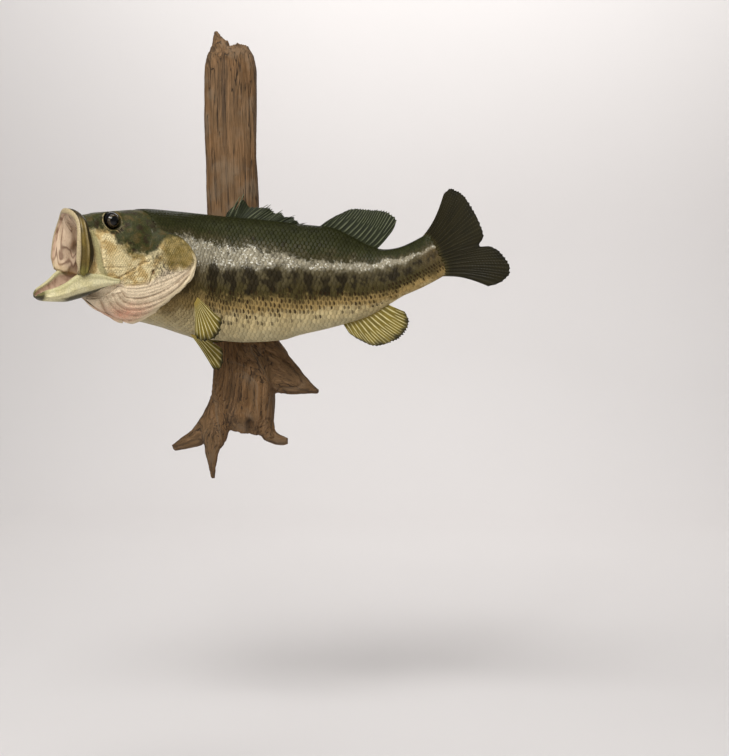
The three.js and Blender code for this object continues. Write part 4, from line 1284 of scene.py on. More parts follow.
@dataclass
class ScaleCoat:
    """Overlapping scales as one joined mesh for a stretch of one side."""

    lattice: ScaleLattice
    length: float = 2.1  # of a scale, in columns
    width: float = 1.9  # of a scale, in rows
    along: int = 4
    across: int = 4
    dashes: SmoothCurve = SmoothCurve(
            (-0.8, 0), (-0.72, 0.5), (-0.66, 0.3), (-0.58, 0.75), (-0.5, 0.97), (-0.38, 0.98), (-0.3, 0.85),
            (-0.24, 0.5), (-0.18, 0.15), (-0.14, 0),
        )

    def template(self) -> tuple[Array, Array]:
        """Shapes one scale as a closed thin plate.

        Returns:
            Its corners, as shares along and across and a lift in millimetres, and its faces.
        """
        bm = bmesh.new()
        bmesh.ops.create_grid(bm, x_segments=self.along, y_segments=self.across, size=0.5)
        for vert in bm.verts:
            u, v = vert.co.x + 0.5, vert.co.y * 2
            u = u**0.8
            vert.co = (u, v * 0.5, 0.56 * u - 0.4 + 0.12 * (1 - v * v) * u)
        faces = list(bm.faces)
        made = bmesh.ops.extrude_face_region(bm, geom=faces)
        lower = [g for g in made["geom"] if isinstance(g, bmesh.types.BMVert)]
        bmesh.ops.translate(bm, verts=lower, vec=(0, 0, -0.22))
        bmesh.ops.recalc_face_normals(bm, faces=bm.faces)
        bm.verts.ensure_lookup_table()
        corners = np.array([vert.co for vert in bm.verts])
        quads = np.array([[vert.index for vert in face.verts] for face in bm.faces])
        bm.free()
        return corners, quads

    def round_off(self, v: Array) -> Array:
        """How far a scale reaches back across its width, v from -0.5 to 0.5, so that its edge is round."""
        return 0.5 + 0.5 * np.sqrt(np.clip(1 - (2 * v) ** 2 * 0.93, 0, 1))

    def begins(self, s: Array, angle: Array) -> Array:
        """True where the coat covers the body: behind the head and from under the gill cover's edge."""
        degrees = np.degrees(angle)
        behind = np.where(degrees < 50, 94 + 0.2 * degrees, GILL_REAR(degrees) - 14)
        ends = 486 + 5 * np.cos((degrees - 90) / 90 * 1.3)
        return (s > behind) & (s < ends) & (degrees > 0.6) & (degrees < 179.4)

    def sites(self, low: float, high: float) -> tuple[Array, Array]:
        """Columns and rows of the scales whose roots lie between two stations."""
        columns = np.arange(len(self.lattice.columns) - 1)
        rows = np.arange(-30, 31)
        c, r = [a.ravel() for a in np.meshgrid(columns, rows, indexing="ij")]
        c = c + 0.5 * (r % 2)
        s = self.lattice.station(c)
        angle = self.lattice.angle(s, self.lattice.drop(s, r))
        keep = self.begins(s, angle) & (s >= low) & (s < high)
        return c[keep], r[keep].astype(float)

    def build(self, side: Side, low: float, high: float, name: str, paint: Material) -> Object:
        """Lays the scales of one stretch of one side.

        Args:
            side: The fish's side.
            low: The stretch's first station.
            high: Its last one.
            name: The piece's name.
            paint: Its finish.

        Returns:
            The piece.
        """
        chance = np.random.default_rng(COAT_SEEDS[side])
        column, row = self.sites(low, high)
        count = len(column)
        tilt = chance.normal(0, 1, (count, 3))
        number = chance.random(count)
        corners, quads = self.template()
        u, v, lift = corners.T
        reach = (u * self.round_off(v) - 0.42) * self.length
        spread = v * self.width * (0.82 + 0.18 * np.sin(np.pi * u * 0.75))
        c = column[:, None] + reach + 0.03 * tilt[:, :1]
        s = self.lattice.station(c)
        step = self.lattice.row(s)
        r = row[:, None] + spread + 0.03 * tilt[:, 1:2]
        angle = self.lattice.angle(s, self.lattice.drop(s, r))
        size = step / 6.0
        root_s = self.lattice.station(column)
        root_angle = self.lattice.angle(root_s, self.lattice.drop(root_s, row))
        root = FORM.point(root_s, root_angle)
        height = FORM.height_share(root_s, root[:, 2])
        soft = lerp(0.75, 0.15, smoothstep(height, 0.3, 0.55)) * lerp(0.12, 1.0, smoothstep(root_s, 150, 215))
        soft = soft * lerp(0.35, 1.0, smoothstep(height, -0.8, -0.5))
        stand = lift * (0.4 + 0.6 * size) * (1 + 0.12 * tilt[:, 2:3]) * soft[:, None]
        spots = FORM.point(s, angle, stand)
        spots[..., 1] *= side.value
        share = height + 0.13 * smoothstep(root_s, 330, 440)
        likely = 1.12 * self.dashes(share) * smoothstep(root_s, 158, 185)
        dash = smoothstep(likely - number, -0.02, 0.2) * (0.65 + 0.35 * chance.random(count))
        cell = stack(dash, chance.random(count), chance.random(count))
        per_corner = len(u)
        flat = spots.reshape(-1, 3)
        layers = {**body_layers(flat), **MARKINGS.layers(flat), "cell": np.repeat(cell, per_corner, axis=0)}
        roots = stack(root_s, root_angle)
        return coat_piece(name, side, (corners, quads), spots, roots, layers, paint, Slot.SKIN)


def coat_piece(
    name: str, side: Side, plate: tuple[Array, Array], spots: Array, roots: Array, layers: dict[str, Array],
    paint: Material, slot: Slot,
) -> Object:
    """Joins many scales into one piece.

    Args:
        name: The piece's name.
        side: The fish's side.
        plate: Corners and faces of one scale.
        spots: Corners of every scale, as scales by corners by (s, y, z).
        roots: Station and angle of each scale's root.
        layers: Attributes of every corner.
        paint: The finish.
        slot: Not used.

    Returns:
        The piece.
    """
    corners, quads = plate
    count, per_corner = spots.shape[:2]
    faces = (quads[None] + (np.arange(count) * per_corner)[:, None, None]).reshape(-1, 4)
    if side is Side.RIGHT:
        faces = faces[:, ::-1]
    mesh = bpy.data.meshes.new(name)
    mesh.from_pydata(POSE.place(spots.reshape(-1, 3)).tolist(), [], faces.tolist())
    leaf = np.tile(stack(corners[:, 0], corners[:, 1] * 2, 0), (count, 1))
    for key, values in {**layers, "leaf": leaf}.items():
        keep_vectors(mesh, key, values)
    patch = 0.003 * stack(corners[:, 0] - 0.5, corners[:, 1])
    home = stack((roots[:, 0] - 20) / 490, (roots[:, 1] + 0.2) / (np.pi + 0.4))
    unwrap = (home[:, None] + patch[None]).reshape(-1, 2)
    loops = np.empty(len(mesh.loops), np.int32)
    mesh.loops.foreach_get("vertex_index", loops)
    mesh.uv_layers.new(name="OFBake").data.foreach_set("uv", unwrap[loops].astype(np.float32).ravel())
    return shown(mesh, name, paint, slot)


# ---------------------------------------------------------------- jaws, throat, tongue
@dataclass
class UpperJaw:
    """The upper jaw: lip and jaw plates in one arch, broadest at their lower ends."""

    foot_angle: float = 95
    front: SmoothCurve = SmoothCurve((0, -5), (40, -1), (70, -3.5), (95, -4.5))
    broad: SmoothCurve = SmoothCurve((0, 11), (45, 14), (80, 21.5), (95, 20))
    thick: SmoothCurve = SmoothCurve((0, 8), (45, 6.5), (80, 5), (95, 4))

    def shape(self, u: Array, v: Array) -> Weave:
        """Places the jaw's corners: u along the arch, v round its section."""
        degrees = lerp(-self.foot_angle, self.foot_angle, u)
        angle, turn, reach = np.radians(degrees), 2 * np.pi * v, np.abs(degrees)
        centre, outward = FORM.lip_line(self.front(reach), angle)
        end = np.sqrt(np.clip(1 - smoothstep(reach, 90, self.foot_angle) ** 2, 0.02, 1))
        taper = (1 - 0.5 * smoothstep(reach, 85, self.foot_angle)) * end
        share = 0.5 + 0.5 * power(np.cos(turn), 0.8) * taper
        stand = self.thick(reach) * 0.5 * power(np.sin(turn), 0.8) * taper
        outside = smoothstep(np.sin(turn), 0, 0.5)
        # The lip's roll in front, the groove behind it and the plate's raised edge.
        plates = smoothstep(reach, 30, 44)
        groove = -1.2 * hump(share, 0.3, 0.05) - 1.0 * plates * hump(share, 0.62, 0.035)
        edge = 0.7 * plates * hump(share, 0.7, 0.07) + 0.8 * hump(share, 0.16, 0.1)
        edge = edge + 0.5 * plates * hump(share, 0.93, 0.05)
        stand = stand + (groove + edge) * outside
        spots = centre + outward * stand[:, None]
        spots[:, 0] += self.broad(reach) * share
        inner = smoothstep(-np.sin(turn), 0.2, 0.7)
        lip = fall(share, 0.16, 0.26) * (1 - inner)
        dark = 0.3 + 0.75 * smoothstep(share, 0.68, 0.76) - 0.35 * smoothstep(reach, 70, 95)
        dark = lerp(0.85 * (1 - lip), dark, smoothstep(reach, 26, 46))
        lip = np.maximum(lip, 0.5 * plates * hump(share, 0.63, 0.035) * fall(reach, 74, 88) * outside)
        return Weave(POSE.place(spots), {**body_layers(spots), "jaw": stack(inner, lip, dark)})

    def build(self, paint: Material) -> Object:
        """Builds the upper jaw."""
        return piece(closed(150, 56, self.shape), "upper_jaw_plates", paint, Slot.JAW, "upper_jaw")


@dataclass
class LowerJaw:
    """The lower jaw: a scoop with a rolled lip, bone ridges outside and a folded floor."""

    tip: float = -37.5
    joint: float = 52
    wall_share: float = 0.46  # of the section's length on the outside, and as much inside
    lip_share: float = 0.04  # of it over each rolled lip
    rim: SmoothCurve = SmoothCurve(
            (-38, -23), (-31, -18.5), (-21, -14), (-10, -7), (-2, 0), (5, 4), (24, 4), (52, -2)
        )
    low: SmoothCurve = SmoothCurve(
        (-38, -27), (-31, -30), (-8, -30.5), (8, -27), (25, -20), (38, -14), (52, -9)
    )
    floor: SmoothCurve = SmoothCurve((-38, -25), (-27, -26), (0, -25), (24, -18), (52, -7))

    def half(self, s: Array) -> Array:
        """Outer half width: a blunt, rounded bow seen from above."""
        return 40 * np.sin(np.arccos(np.minimum(1, (self.joint - s) / (self.joint - self.tip + 0.6)))) ** 0.8

    def shape(self, u: Array, v: Array) -> Weave:
        """Places the jaw's corners: u from the tip to the joint, v round outside, lip and floor."""
        s = self.tip + (self.joint - self.tip) * u**1.5
        half = self.half(s)
        wall = np.minimum(7, half * 0.45)
        wide, last = self.wall_share, 1 - self.lip_share
        outer = v < wide
        inner = (v > 0.5) & (v < last)
        far_lip = v < 0.6
        within = np.where(inner, (last - v) / wide, np.where(far_lip, 1.0, 0.0))
        turn = np.where(outer, v / wide, within) * np.pi
        over = np.where(far_lip, v - wide, 1 - v) / self.lip_share
        roll = np.where(outer, 0, np.where(inner, 1, over))
        cosine, sine = np.cos(turn), np.clip(np.sin(turn), 0, 1)
        rim, low = self.rim(s), self.low(s)
        floor = np.maximum(self.floor(s), low + 2)
        shell = stack(s, -half * power(cosine, 0.6), lerp(rim, low, sine**0.8))
        inside = stack(s, -(half - wall) * power(cosine, 0.5), lerp(rim, floor, sine**0.8))
        spots = lerp(shell, inside, roll[:, None])
        spots[:, 2] += wall * 0.28 * np.sin(np.pi * roll) * ((roll > 0) & (roll < 1))
        # Ridges outside, and folds on the floor.
        outward = unit(stack(0, -np.sign(cosine) * np.abs(cosine) ** 0.8, -sine))
        flank = (1 - roll) * smoothstep(u, 0.04, 0.2)
        ridge = 0.9 * hump(sine, 0.4, 0.14) - 0.8 * hump(sine, 0.66, 0.07)
        ridge = ridge + 0.2 * np.sin(sine * 22 + s * 0.05)
        spots += outward * (ridge * flank * 0.8)[:, None]
        folds = (0.9 * np.sin(spots[:, 1] * 0.5) + 0.5 * np.sin(s * 0.4)) * (roll > 0.99) * sine
        spots[:, 2] += folds
        blunt = np.clip(u / 0.03, 0, 1)
        nose = 1 - np.sqrt(blunt * (2 - blunt))
        middle = stack(s, 0, (rim + low) / 2)
        spots = lerp(spots, middle, (nose * 0.97)[:, None])
        lining = smoothstep(roll, 0.5, 1) * smoothstep(sine, 0.02, 0.15)
        lip = np.maximum(smoothstep(0.16 - sine, 0, 0.1) * (1 - lining), 0)
        # Painted shade along the jaw's underside, added to the dark tip and front.
        under = smoothstep(sine, 0.5, 0.74) * smoothstep(s, -34, 0) * (1 - roll)
        dark = 1.0 * fall(s, -38, -30) + 0.9 * under + 0.4 * fall(s, -32, -12)
        return Weave(POSE.place(spots), {**body_layers(spots), "jaw": stack(lining, lip * 0.5, dark)})

    def build(self, paint: Material) -> Object:
        """Builds the lower jaw."""
        return piece(closed(90, 150, self.shape), "lower_jaw_scoop", paint, Slot.JAW, "lower_jaw")


@dataclass
class Throat:
    """The soft throat between the lower jaws."""

    wall: float = 0.42  # of the way up from the belly's middle, where the outer wall ends
    half: SmoothCurve = SmoothCurve((10, 9), (24, 20), (45, 27), (84, 33))
    high: SmoothCurve = SmoothCurve((10, -25), (24, -19), (50, -13), (84, -10))

    def shape(self, u: Array, v: Array) -> Weave:
        """Places the throat's corners."""
        s = lerp(12, 84, u)
        turn = 2 * np.pi * v
        high, low = self.high(s), FORM.low(s) + 1.2
        middle = lerp(low, high, 0.7)
        reach = np.where(np.cos(turn) > 0, high - middle, middle - low)
        pleat = 0.5 * np.sin(turn * 18 + s * 0.08)
        end = rounded_end(u, 0.06, 0.01)
        across = -(self.half(s) * end + pleat) * np.sin(turn)
        spots = stack(s, across, middle + (reach * end + pleat) * np.cos(turn))
        # The outer wall is drawn out to meet the gill covers' lower edges.
        belly = np.abs(turn - np.pi) / np.pi  # 0 at the belly's middle, 1 inside the mouth
        angle = np.radians(lerp(96.0, 180.0, np.clip((belly - self.wall) / -self.wall, 0, 1)))
        side = np.where(turn < np.pi, 1.0, -1.0)
        wall = FORM.point(s, angle, -2.4 + 0.6 * np.sin(angle * 26 + s * 0.1))
        wall[:, 1] *= side
        outer = (belly < self.wall) * smoothstep(s, 14, 26) * smoothstep(self.wall - belly, 0, 0.06)
        spots = lerp(spots, wall, outer[:, None])
        lining = smoothstep(np.cos(turn), -0.15, 0.1)
        return Weave(POSE.place(spots), {**body_layers(spots, lining), **MARKINGS.layers(spots, True)})

    def build(self, paint: Material) -> Object:
        """Builds the throat."""
        return piece(closed(60, 140, self.shape), "throat_pouch", paint, Slot.MOUTH, "throat")


@dataclass
class Tongue:
    """The tongue, a blunt wedge with a shallow groove."""

    half: SmoothCurve = SmoothCurve((-16, 4), (0, 10), (30, 13), (58, 10))

    def shape(self, u: Array, v: Array) -> Weave:
        """Places the tongue's corners."""
        s = lerp(-16, 56, u)
        turn = 2 * np.pi * v
        end = rounded_end(u, 0.12, 0.01)
        top = lerp(-18, -6, u)
        across = -self.half(s) * end * np.sin(turn)
        groove = 0.9 * hump(across, 0, 2.2) * (np.cos(turn) > 0)
        spots = stack(s, across, top - 3 + 3 * np.cos(turn) * end - groove)
        return Weave(POSE.place(spots), body_layers(spots))

    def build(self, paint: Material) -> Object:
        """Builds the tongue."""
        return piece(closed(40, 40, self.shape), "tongue_blade", paint, Slot.MOUTH, "tongue")


# ---------------------------------------------------------------- gill covers
@dataclass
class GillCover:
    """One gill cover with its soft lower skirt, standing off at its rear edge."""

    side: Side
    top: float = 50
    bottom: float = 174

    def lift(self, share: Array, degrees: Array) -> Array:
        """How far the outer face stands off the body."""
        plain = 0.8 + 3.0 * smoothstep(share, 0, 0.6) + 3.4 * smoothstep(share, 0.45, 1)
        seam = lerp(-1.1, plain, smoothstep(share / lerp(0.55, 0.2, smoothstep(degrees, 66, 84)), 0, 1))
        ends = smoothstep(degrees, 50, 62) * (1 - smoothstep(degrees, 168, 174) * 0.6)
        return lerp(np.minimum(seam, 0.4), seam, ends)

    def relief(self, spots: Array, share: Array, degrees: Array) -> Array:
        """Plates above and rayed folds below."""
        bulge = 1.6 * hump(share, 0.6, 0.25) * hump(degrees, 76, 14)
        return bulge - 1.2 * MARKINGS.fold_depth(spots[..., 0], spots[..., 2]) * smoothstep(share, 0, 0.06)

    def shape(self, u: Array, v: Array) -> Weave:
        """Places the cover's corners: u down its length, v over the outer face and back under it."""
        degrees = lerp(self.top, self.bottom, u)
        outer = v < 0.5
        share = np.where(outer, 2 * v, 2 - 2 * v)
        wavy = 0.8 * np.sin(degrees * 0.42) + 0.35 * np.sin(degrees * 1.1)
        rear = GILL_REAR(degrees) + wavy * smoothstep(degrees, 86, 100) * fall(degrees, 140, 160)
        s = lerp(GILL_FRONT(degrees), rear, share)
        thick = lerp(0.9, 2.0, smoothstep(share, 0, 0.4)) * rounded_end(1 - share, 0.05)
        lift = self.lift(share, degrees)
        plain = FORM.point(s, np.radians(degrees), lift)
        stand = np.where(outer, lift + self.relief(plain, share, degrees), lift - thick)
        edge_blend = smoothstep(share, 0.96, 1)
        stand = lerp(stand, lift - thick * 0.5, edge_blend * 0.7)
        spots = FORM.point(s, np.radians(degrees), stand)
        spots[:, 1] *= self.side.value
        layers = {**body_layers(spots), **MARKINGS.layers(spots, True)}
        layers["cover"] = stack(u, share, ~outer & (share < 0.97))
        return Weave(POSE.place(spots), layers)

    def build(self, paint: Material) -> Object:
        """Builds the gill cover."""
        name = f"gill_cover_{self.side.name.lower()}"
        return piece(closed(130, 150, self.shape), f"{name}_flap", paint, Slot.GILL, name)


@dataclass
class FaceScales:
    """The smallest scales, set shallowly in the cheek and the gill plate of one side."""

    side: Side
    pitch: float = 3.0

    def surface(self, s: Array, z: Array) -> tuple[Array, Array]:
        """The angle and the lift of the face's surface at stations and heights."""
        angle = FORM.angle_at(s, z)
        degrees = np.degrees(angle)
        cover = GillCover(self.side)
        share = (s - GILL_FRONT(degrees)) / (GILL_REAR(degrees) - GILL_FRONT(degrees))
        on_skin = BodySkin().lift(s, z)
        on_cover = cover.lift(share, degrees) + cover.relief(stack(s, 0, z), share, degrees)
        return angle, np.where((share > 0) & (degrees > 50), np.maximum(on_cover, on_skin), on_skin)

    def build(self, paint: Material) -> Object:
        """Sets the scales in rows, leaving the folds bare."""
        chance = np.random.default_rng(FACE_SEEDS[self.side])
        coat = ScaleCoat(LATTICE, along=3, across=3)
        corners, quads = coat.template()
        column, row = [a.ravel() for a in np.meshgrid(np.arange(42), np.arange(28), indexing="ij")]
        root_s = 31 + self.pitch * (column + 0.5 * (row % 2)) + chance.normal(0, 0.15, column.size)
        root_z = -9 + 0.82 * self.pitch * row + chance.normal(0, 0.15, column.size)
        degrees = np.degrees(FORM.angle_at(root_s, root_z))
        keep = (root_s < GILL_REAR(degrees) - 7) & (MARKINGS.fold_depth(root_s, root_z) < 0.22)
        keep &= root_z < MARKINGS.dark_edge(root_s) + 2
        keep &= root_z > np.interp(root_s, (31, 48, 60, 150), (8, 0, -6, -2))
        keep &= root_z > MARKINGS.flesh_edge(root_s) - 2
        root_s, root_z = root_s[keep], root_z[keep]
        u, v, lift = corners.T
        s = root_s[:, None] + (u * coat.round_off(v) - 0.3) * self.pitch * 1.5
        z = root_z[:, None] + v * self.pitch * 1.2
        angle, stand = self.surface(s, z)
        spots = FORM.point(s, angle, stand + (lift + 0.28) * 0.55)
        spots[..., 1] *= self.side.value
        flat = spots.reshape(-1, 3)
        layers = {**body_layers(flat), **MARKINGS.layers(flat, True), "cover": np.zeros_like(flat)}
        roots = stack(root_s, FORM.angle_at(root_s, root_z))
        name = f"scales_face_{self.side.name.lower()}"
        return coat_piece(name, self.side, (corners, quads), spots, roots, layers, paint, Slot.GILL)


# ---------------------------------------------------------------- eyes
@dataclass
class GlassEye:
    """A glass eye: a flattened ball with a raised clear dome over the pupil."""

    side: Side
    y: float = 18
    radius: float = EYE_RADIUS
    steps: int = 26
    turns: int = 48

    def build(self, paint: Material) -> Object:
        """Spins the eye's profile and sets it in its socket."""
        bm = bmesh.new()
        profile = []
        for polar in np.linspace(0, np.pi, self.steps + 1):
            out = self.radius * np.sin(polar)
            dome = 0.7 * hump(np.array(out), 0, self.radius * 0.45) * (polar < np.pi / 2)
            profile.append(bm.verts.new((out, 0, self.radius * 0.95 * np.cos(polar) + float(dome))))
        edges = [bm.edges.new(pair) for pair in zip(profile, profile[1:])]
        whole = {"cent": (0, 0, 0), "axis": (0, 0, 1), "angle": 2 * np.pi}
        bmesh.ops.spin(bm, geom=profile + edges, steps=self.turns, use_merge=True, **whole)
        bmesh.ops.remove_doubles(bm, verts=bm.verts, dist=1e-4)
        layer = bm.verts.layers.float_vector.new("iris")
        local = np.array([vert.co for vert in bm.verts])
        away = np.where(local[:, 2] > 0, np.hypot(local[:, 0], local[:, 1]) / self.radius, 1.0)
        turn = np.arctan2(local[:, 1], local[:, 0])
        spots = stack(EYE_S + local[:, 0], -self.side.value * (self.y + local[:, 2]), EYE_Z + local[:, 1])
        placed = POSE.place(spots)
        for vert, spot, distance, angle in zip(bm.verts, placed, away, turn):
            vert.co = spot
            vert[layer] = (distance, np.cos(angle), 0)
        bmesh.ops.recalc_face_normals(bm, faces=bm.faces)
        side = self.side.name.lower()
        return piece(bm, f"glass_eye_{side}", paint, Slot.EYE, f"eye_{side}")


# ---------------------------------------------------------------- fins
Edge = Callable[[Array], Array]
Bow = Callable[[Array, Array], Array]


def flat_bow(share: Array, reach: Array) -> Array:
    """No bow at all."""
    return np.zeros_like(share)


@dataclass
class Fin:
    """A fin: a thin closed web over rays that fork towards a frayed edge."""

    name: str
    node: str
    slot: Slot
    root: Edge
    tip: Edge
    thick: float
    rays: int
    bow: Bow = flat_bow
    sag: Bow = flat_bow
    across: tuple[float, float, float] = (0, 1, 0)
    fray: float = 0.05
    forks: bool = True
    columns: int = 260
    rows: int = 36

    def ridge(self, share: Array, reach: Array) -> Array:
        """Height of the rays at a point, 0 in the web and 1 along a ray."""
        single = np.abs(np.cos(np.pi * share * self.rays)) ** 5
        if not self.forks:
            return single
        twin = np.abs(np.cos(np.pi * share * self.rays * 2)) ** 5
        return lerp(single, twin, smoothstep(reach, 0.35, 0.6))

    def shape(self, u: Array, v: Array) -> Weave:
        """Places the fin's corners: u round both faces, v from root to tip."""
        near = u < 0.5
        share = np.where(near, 2 * u, 2 - 2 * u)
        face = np.where(near, 1.0, -1.0)
        ridge = self.ridge(share, v)
        tatter = 0.5 + 0.5 * np.sin(share * self.rays * 7.3 + 4 * np.sin(share * 17))
        between = 1 - self.ridge(share, np.ones_like(v))
        reach = v * (1 - self.fray * (0.6 * between + 0.4 * tatter) * smoothstep(v, 0.5, 1))
        root, tip = self.root(share), self.tip(share)
        ends = rounded_end(np.minimum(share, 1 - share), 0.012)
        body = lerp(self.thick, 0.9, reach**1.2)
        stand = 0.5 * body * lerp(0.42, 1.0, ridge) * ends * rounded_end(1 - v, 0.02)
        spots = lerp(root, tip, reach[:, None])
        spots[:, 2] += self.sag(share, reach)
        spots += unit(np.array(self.across, float)) * (self.bow(share, reach) + face * stand)[:, None]
        return Weave(POSE.place(spots), {"ray": stack(share, reach, ridge), "form": spots * CM})

    def mesh(self) -> BMesh:
        """Weaves the fin."""
        return closed(self.columns, self.rows, self.shape)

    def build(self, paint: Material) -> Object:
        """Builds the fin."""
        return piece(self.mesh(), self.name, paint, self.slot, self.node)


def outline(tip_s: SmoothCurve, tip_z: SmoothCurve, y: float = 0.0) -> Edge:
    """A fin's free edge from its stations and heights."""
    return lambda share: stack(tip_s(share), y, tip_z(share))


def along(curve: SmoothCurve, start: float, end: float, rise: float) -> Edge:
    """A fin's root along the back or the belly, sunk a little into the body."""
    return lambda share: stack(lerp(start, end, share), 0, curve(lerp(start, end, share)) + rise)


@dataclass
class SpinyFin:
    """The front back fin: spines partly folded back, with a torn web sagging between them."""

    # The root's station, the edge's station and height over the back, and whether a spine stands there.
    edge: tuple[tuple[float, float, float, int], ...] = (
        (209, 212, 6, 0), (214, 228.7, 27, 1), (217.5, 222, 9, 0), (221, 233.5, 30.5, 1), (228, 241, 17, 0),
        (236, 264.5, 20, 1), (243, 268.5, 20.5, 1), (256, 275, 11.5, 0), (263, 283.5, 15.3, 1),
        (270, 287, 7.8, 0), (277, 300, 10.7, 1), (283, 299.5, 5.5, 0), (288, 303.5, 4.6, 1),
        (296, 305.5, 0.6, 0), (301, 315.5, 2.8, 1),
    )

    def table(self, share: Array, column: int) -> Array:
        """A column of the table, by share of the fin's length."""
        rows = np.array(self.edge, float)
        return np.interp(share * (len(rows) - 1), np.arange(len(rows)), rows[:, column])

    def root(self, share: Array) -> Array:
        """The fin's root along the back."""
        s = self.table(share, 0)
        return stack(s, 0, FORM.top(s) - 3)

    def tip(self, share: Array) -> Array:
        """The web's upper edge."""
        s = self.table(share, 1)
        return stack(s, 0, FORM.top(s) + self.table(share, 2) * lerp(0.94, 0.86, self.table(share, 3)))

    def spine(self, row: tuple[float, float, float, int]) -> BMesh:
        """One spine, a thin tapered rod."""
        start = np.array([row[0], 0, float(FORM.top(row[0])) - 3])
        end = np.array([row[1], 0, float(FORM.top(row[1])) + row[2]])

        def shape(u: Array, v: Array) -> Weave:
            """Places the spine's corners."""
            centre = start + (end - start) * v[:, None]
            centre[:, 2] += 0.9 * np.sin(np.pi * v)
            radius = lerp(1.9, 0.5, v**1.2)
            turn = 2 * np.pi * u
            spots = centre + stack(radius * np.cos(turn), radius * np.sin(turn), 0)
            return Weave(POSE.place(spots), {"ray": stack(row[0] / 300, v * 0.7, 1.0), "form": spots * CM})

        return closed(12, 14, shape)

    def build(self, paint: Material) -> Object:
        """Builds web and spines as one piece."""
        web = Fin(
            "web", "", Slot.DARK_FIN, self.root, self.tip, 1.8, 44, fray=0.12, forks=False,
            bow=lambda share, reach: 1.3 * reach * np.sin(np.pi * share * 9),
        )
        parts = [web.mesh()] + [self.spine(row) for row in self.edge if row[3]]
        return piece(joined(parts), "back_fin_spiny", paint, Slot.DARK_FIN, "fin_dorsal_spiny")


def make_fins(dark: Material, tail: Material, pale: Material) -> None:
    """Builds every fin.

    Args:
        dark: Finish of the back fins.
        tail: Finish of the tail fin.
        pale: Finish of the lower fins.
    """
    SpinyFin().build(dark)
    Fin(
        "back_fin_soft", "fin_dorsal_soft", Slot.DARK_FIN,
        along(FORM.top, 328, 411, -3),
        outline(
            SmoothCurve(
                (0, 340), (0.1, 356), (0.25, 378), (0.45, 409), (0.65, 437), (0.8, 454), (0.92, 461), (1, 449)
            ),
            SmoothCurve(
                (0, 74), (0.1, 83), (0.25, 90), (0.45, 87), (0.65, 82), (0.8, 74), (0.92, 60), (1, 50)
            ),
        ),
        2.2, 13, bow=lambda q, r: 3 * r**2 * np.sin(np.pi * q),
    ).build(dark)
    Fin(
        "tail_fin_fan", "fin_tail", Slot.DARK_FIN,
        lambda q: stack(480 + 8 * np.cos((q - 0.5) * 2.4), 0, lerp(23.5, -33, q)),
        outline(
            SmoothCurve(
                (0, 534), (0.06, 543), (0.13, 549), (0.25, 556), (0.4, 558), (0.53, 555), (0.585, 544),
                (0.63, 556), (0.7, 564), (0.8, 567), (0.88, 561), (0.95, 548), (1, 531),
            ),
            SmoothCurve(
                (0, 56), (0.06, 57.5), (0.13, 52), (0.25, 38), (0.53, -16), (0.585, -24), (0.8, -62),
                (0.88, -74), (0.95, -77), (1, -74),
            ),
        ),
        4.5, 18, bow=lambda q, r: 5 * np.sin(2 * r) * (q - 0.5),
        sag=lambda q, r: 10 * (q - 0.5) * np.sin(np.pi * r), columns=400, rows=56, fray=0.02,
    ).build(tail)
    Fin(
        "belly_fin_rear", "fin_anal", Slot.PALE_FIN,
        along(FORM.low, 360, 411, 3),
        outline(
            SmoothCurve((0, 369), (0.12, 381), (0.3, 397), (0.55, 415), (0.75, 425), (0.9, 430), (1, 429)),
            SmoothCurve((0, -69), (0.12, -79), (0.3, -88), (0.55, -84), (0.75, -76), (0.9, -64), (1, -53)),
        ),
        2.2, 12, bow=lambda q, r: -3 * r**2,
    ).build(pale)
    for side in Side:
        PairedFins(side).build(pale)


@dataclass
class PairedFins:
    """The breast and belly fins of one side: spread on the left, folded on the right."""

    side: Side

    def build(self, paint: Material) -> None:
        """Builds both fins."""
        sign, fold = -self.side.value, 0.0 if self.side is Side.LEFT else 1.0
        name = self.side.name.lower()
        open_s = SmoothCurve((0, 152), (0.25, 166), (0.5, 187), (0.75, 203), (1, 207))
        open_z = SmoothCurve((0, -72), (0.25, -79), (0.5, -76), (0.75, -66), (1, -50))
        Fin(
            f"breast_fin_{name}", f"fin_pectoral_{name}", Slot.PALE_FIN,
            lambda q: stack(lerp(154, 160, q), sign * lerp(46, 46.6, q), lerp(-32, -24, q)),
            lambda q: stack(
                lerp(open_s(q), lerp(172, 190, q), fold),
                lerp(sign * lerp(51, 49, q), sign * lerp(47, 50, q), fold),
                lerp(open_z(q), lerp(-58, -40, q), fold),
            ),
            2.4, 9, bow=lambda q, r: 6 * (1 - fold) * np.sin(2.6 * r) * (0.4 + q),
            across=(0, 0.92 * sign, -0.3), columns=220, forks=False,
        ).build(paint)
        tip_s = SmoothCurve((0, 192), (0.35, 200), (0.7, 208), (1, 207))
        tip_z = SmoothCurve((0, -115), (0.35, -116), (0.7, -104), (1, -89))
        Fin(
            f"belly_fin_{name}", f"fin_pelvic_{name}", Slot.PALE_FIN,
            lambda q: stack(lerp(159, 174, q), sign * lerp(17, 15, q), lerp(-70, -72, q)),
            lambda q: stack(
                tip_s(q),
                sign * lerp(lerp(30, 26, q), lerp(16, 27, q), fold),
                lerp(tip_z(q), lerp(-83, -78, q), fold),
            ),
            2.4, 6, forks=False, bow=lambda q, r: sign * 3 * np.sin(np.pi * r), columns=160,
        ).build(paint)


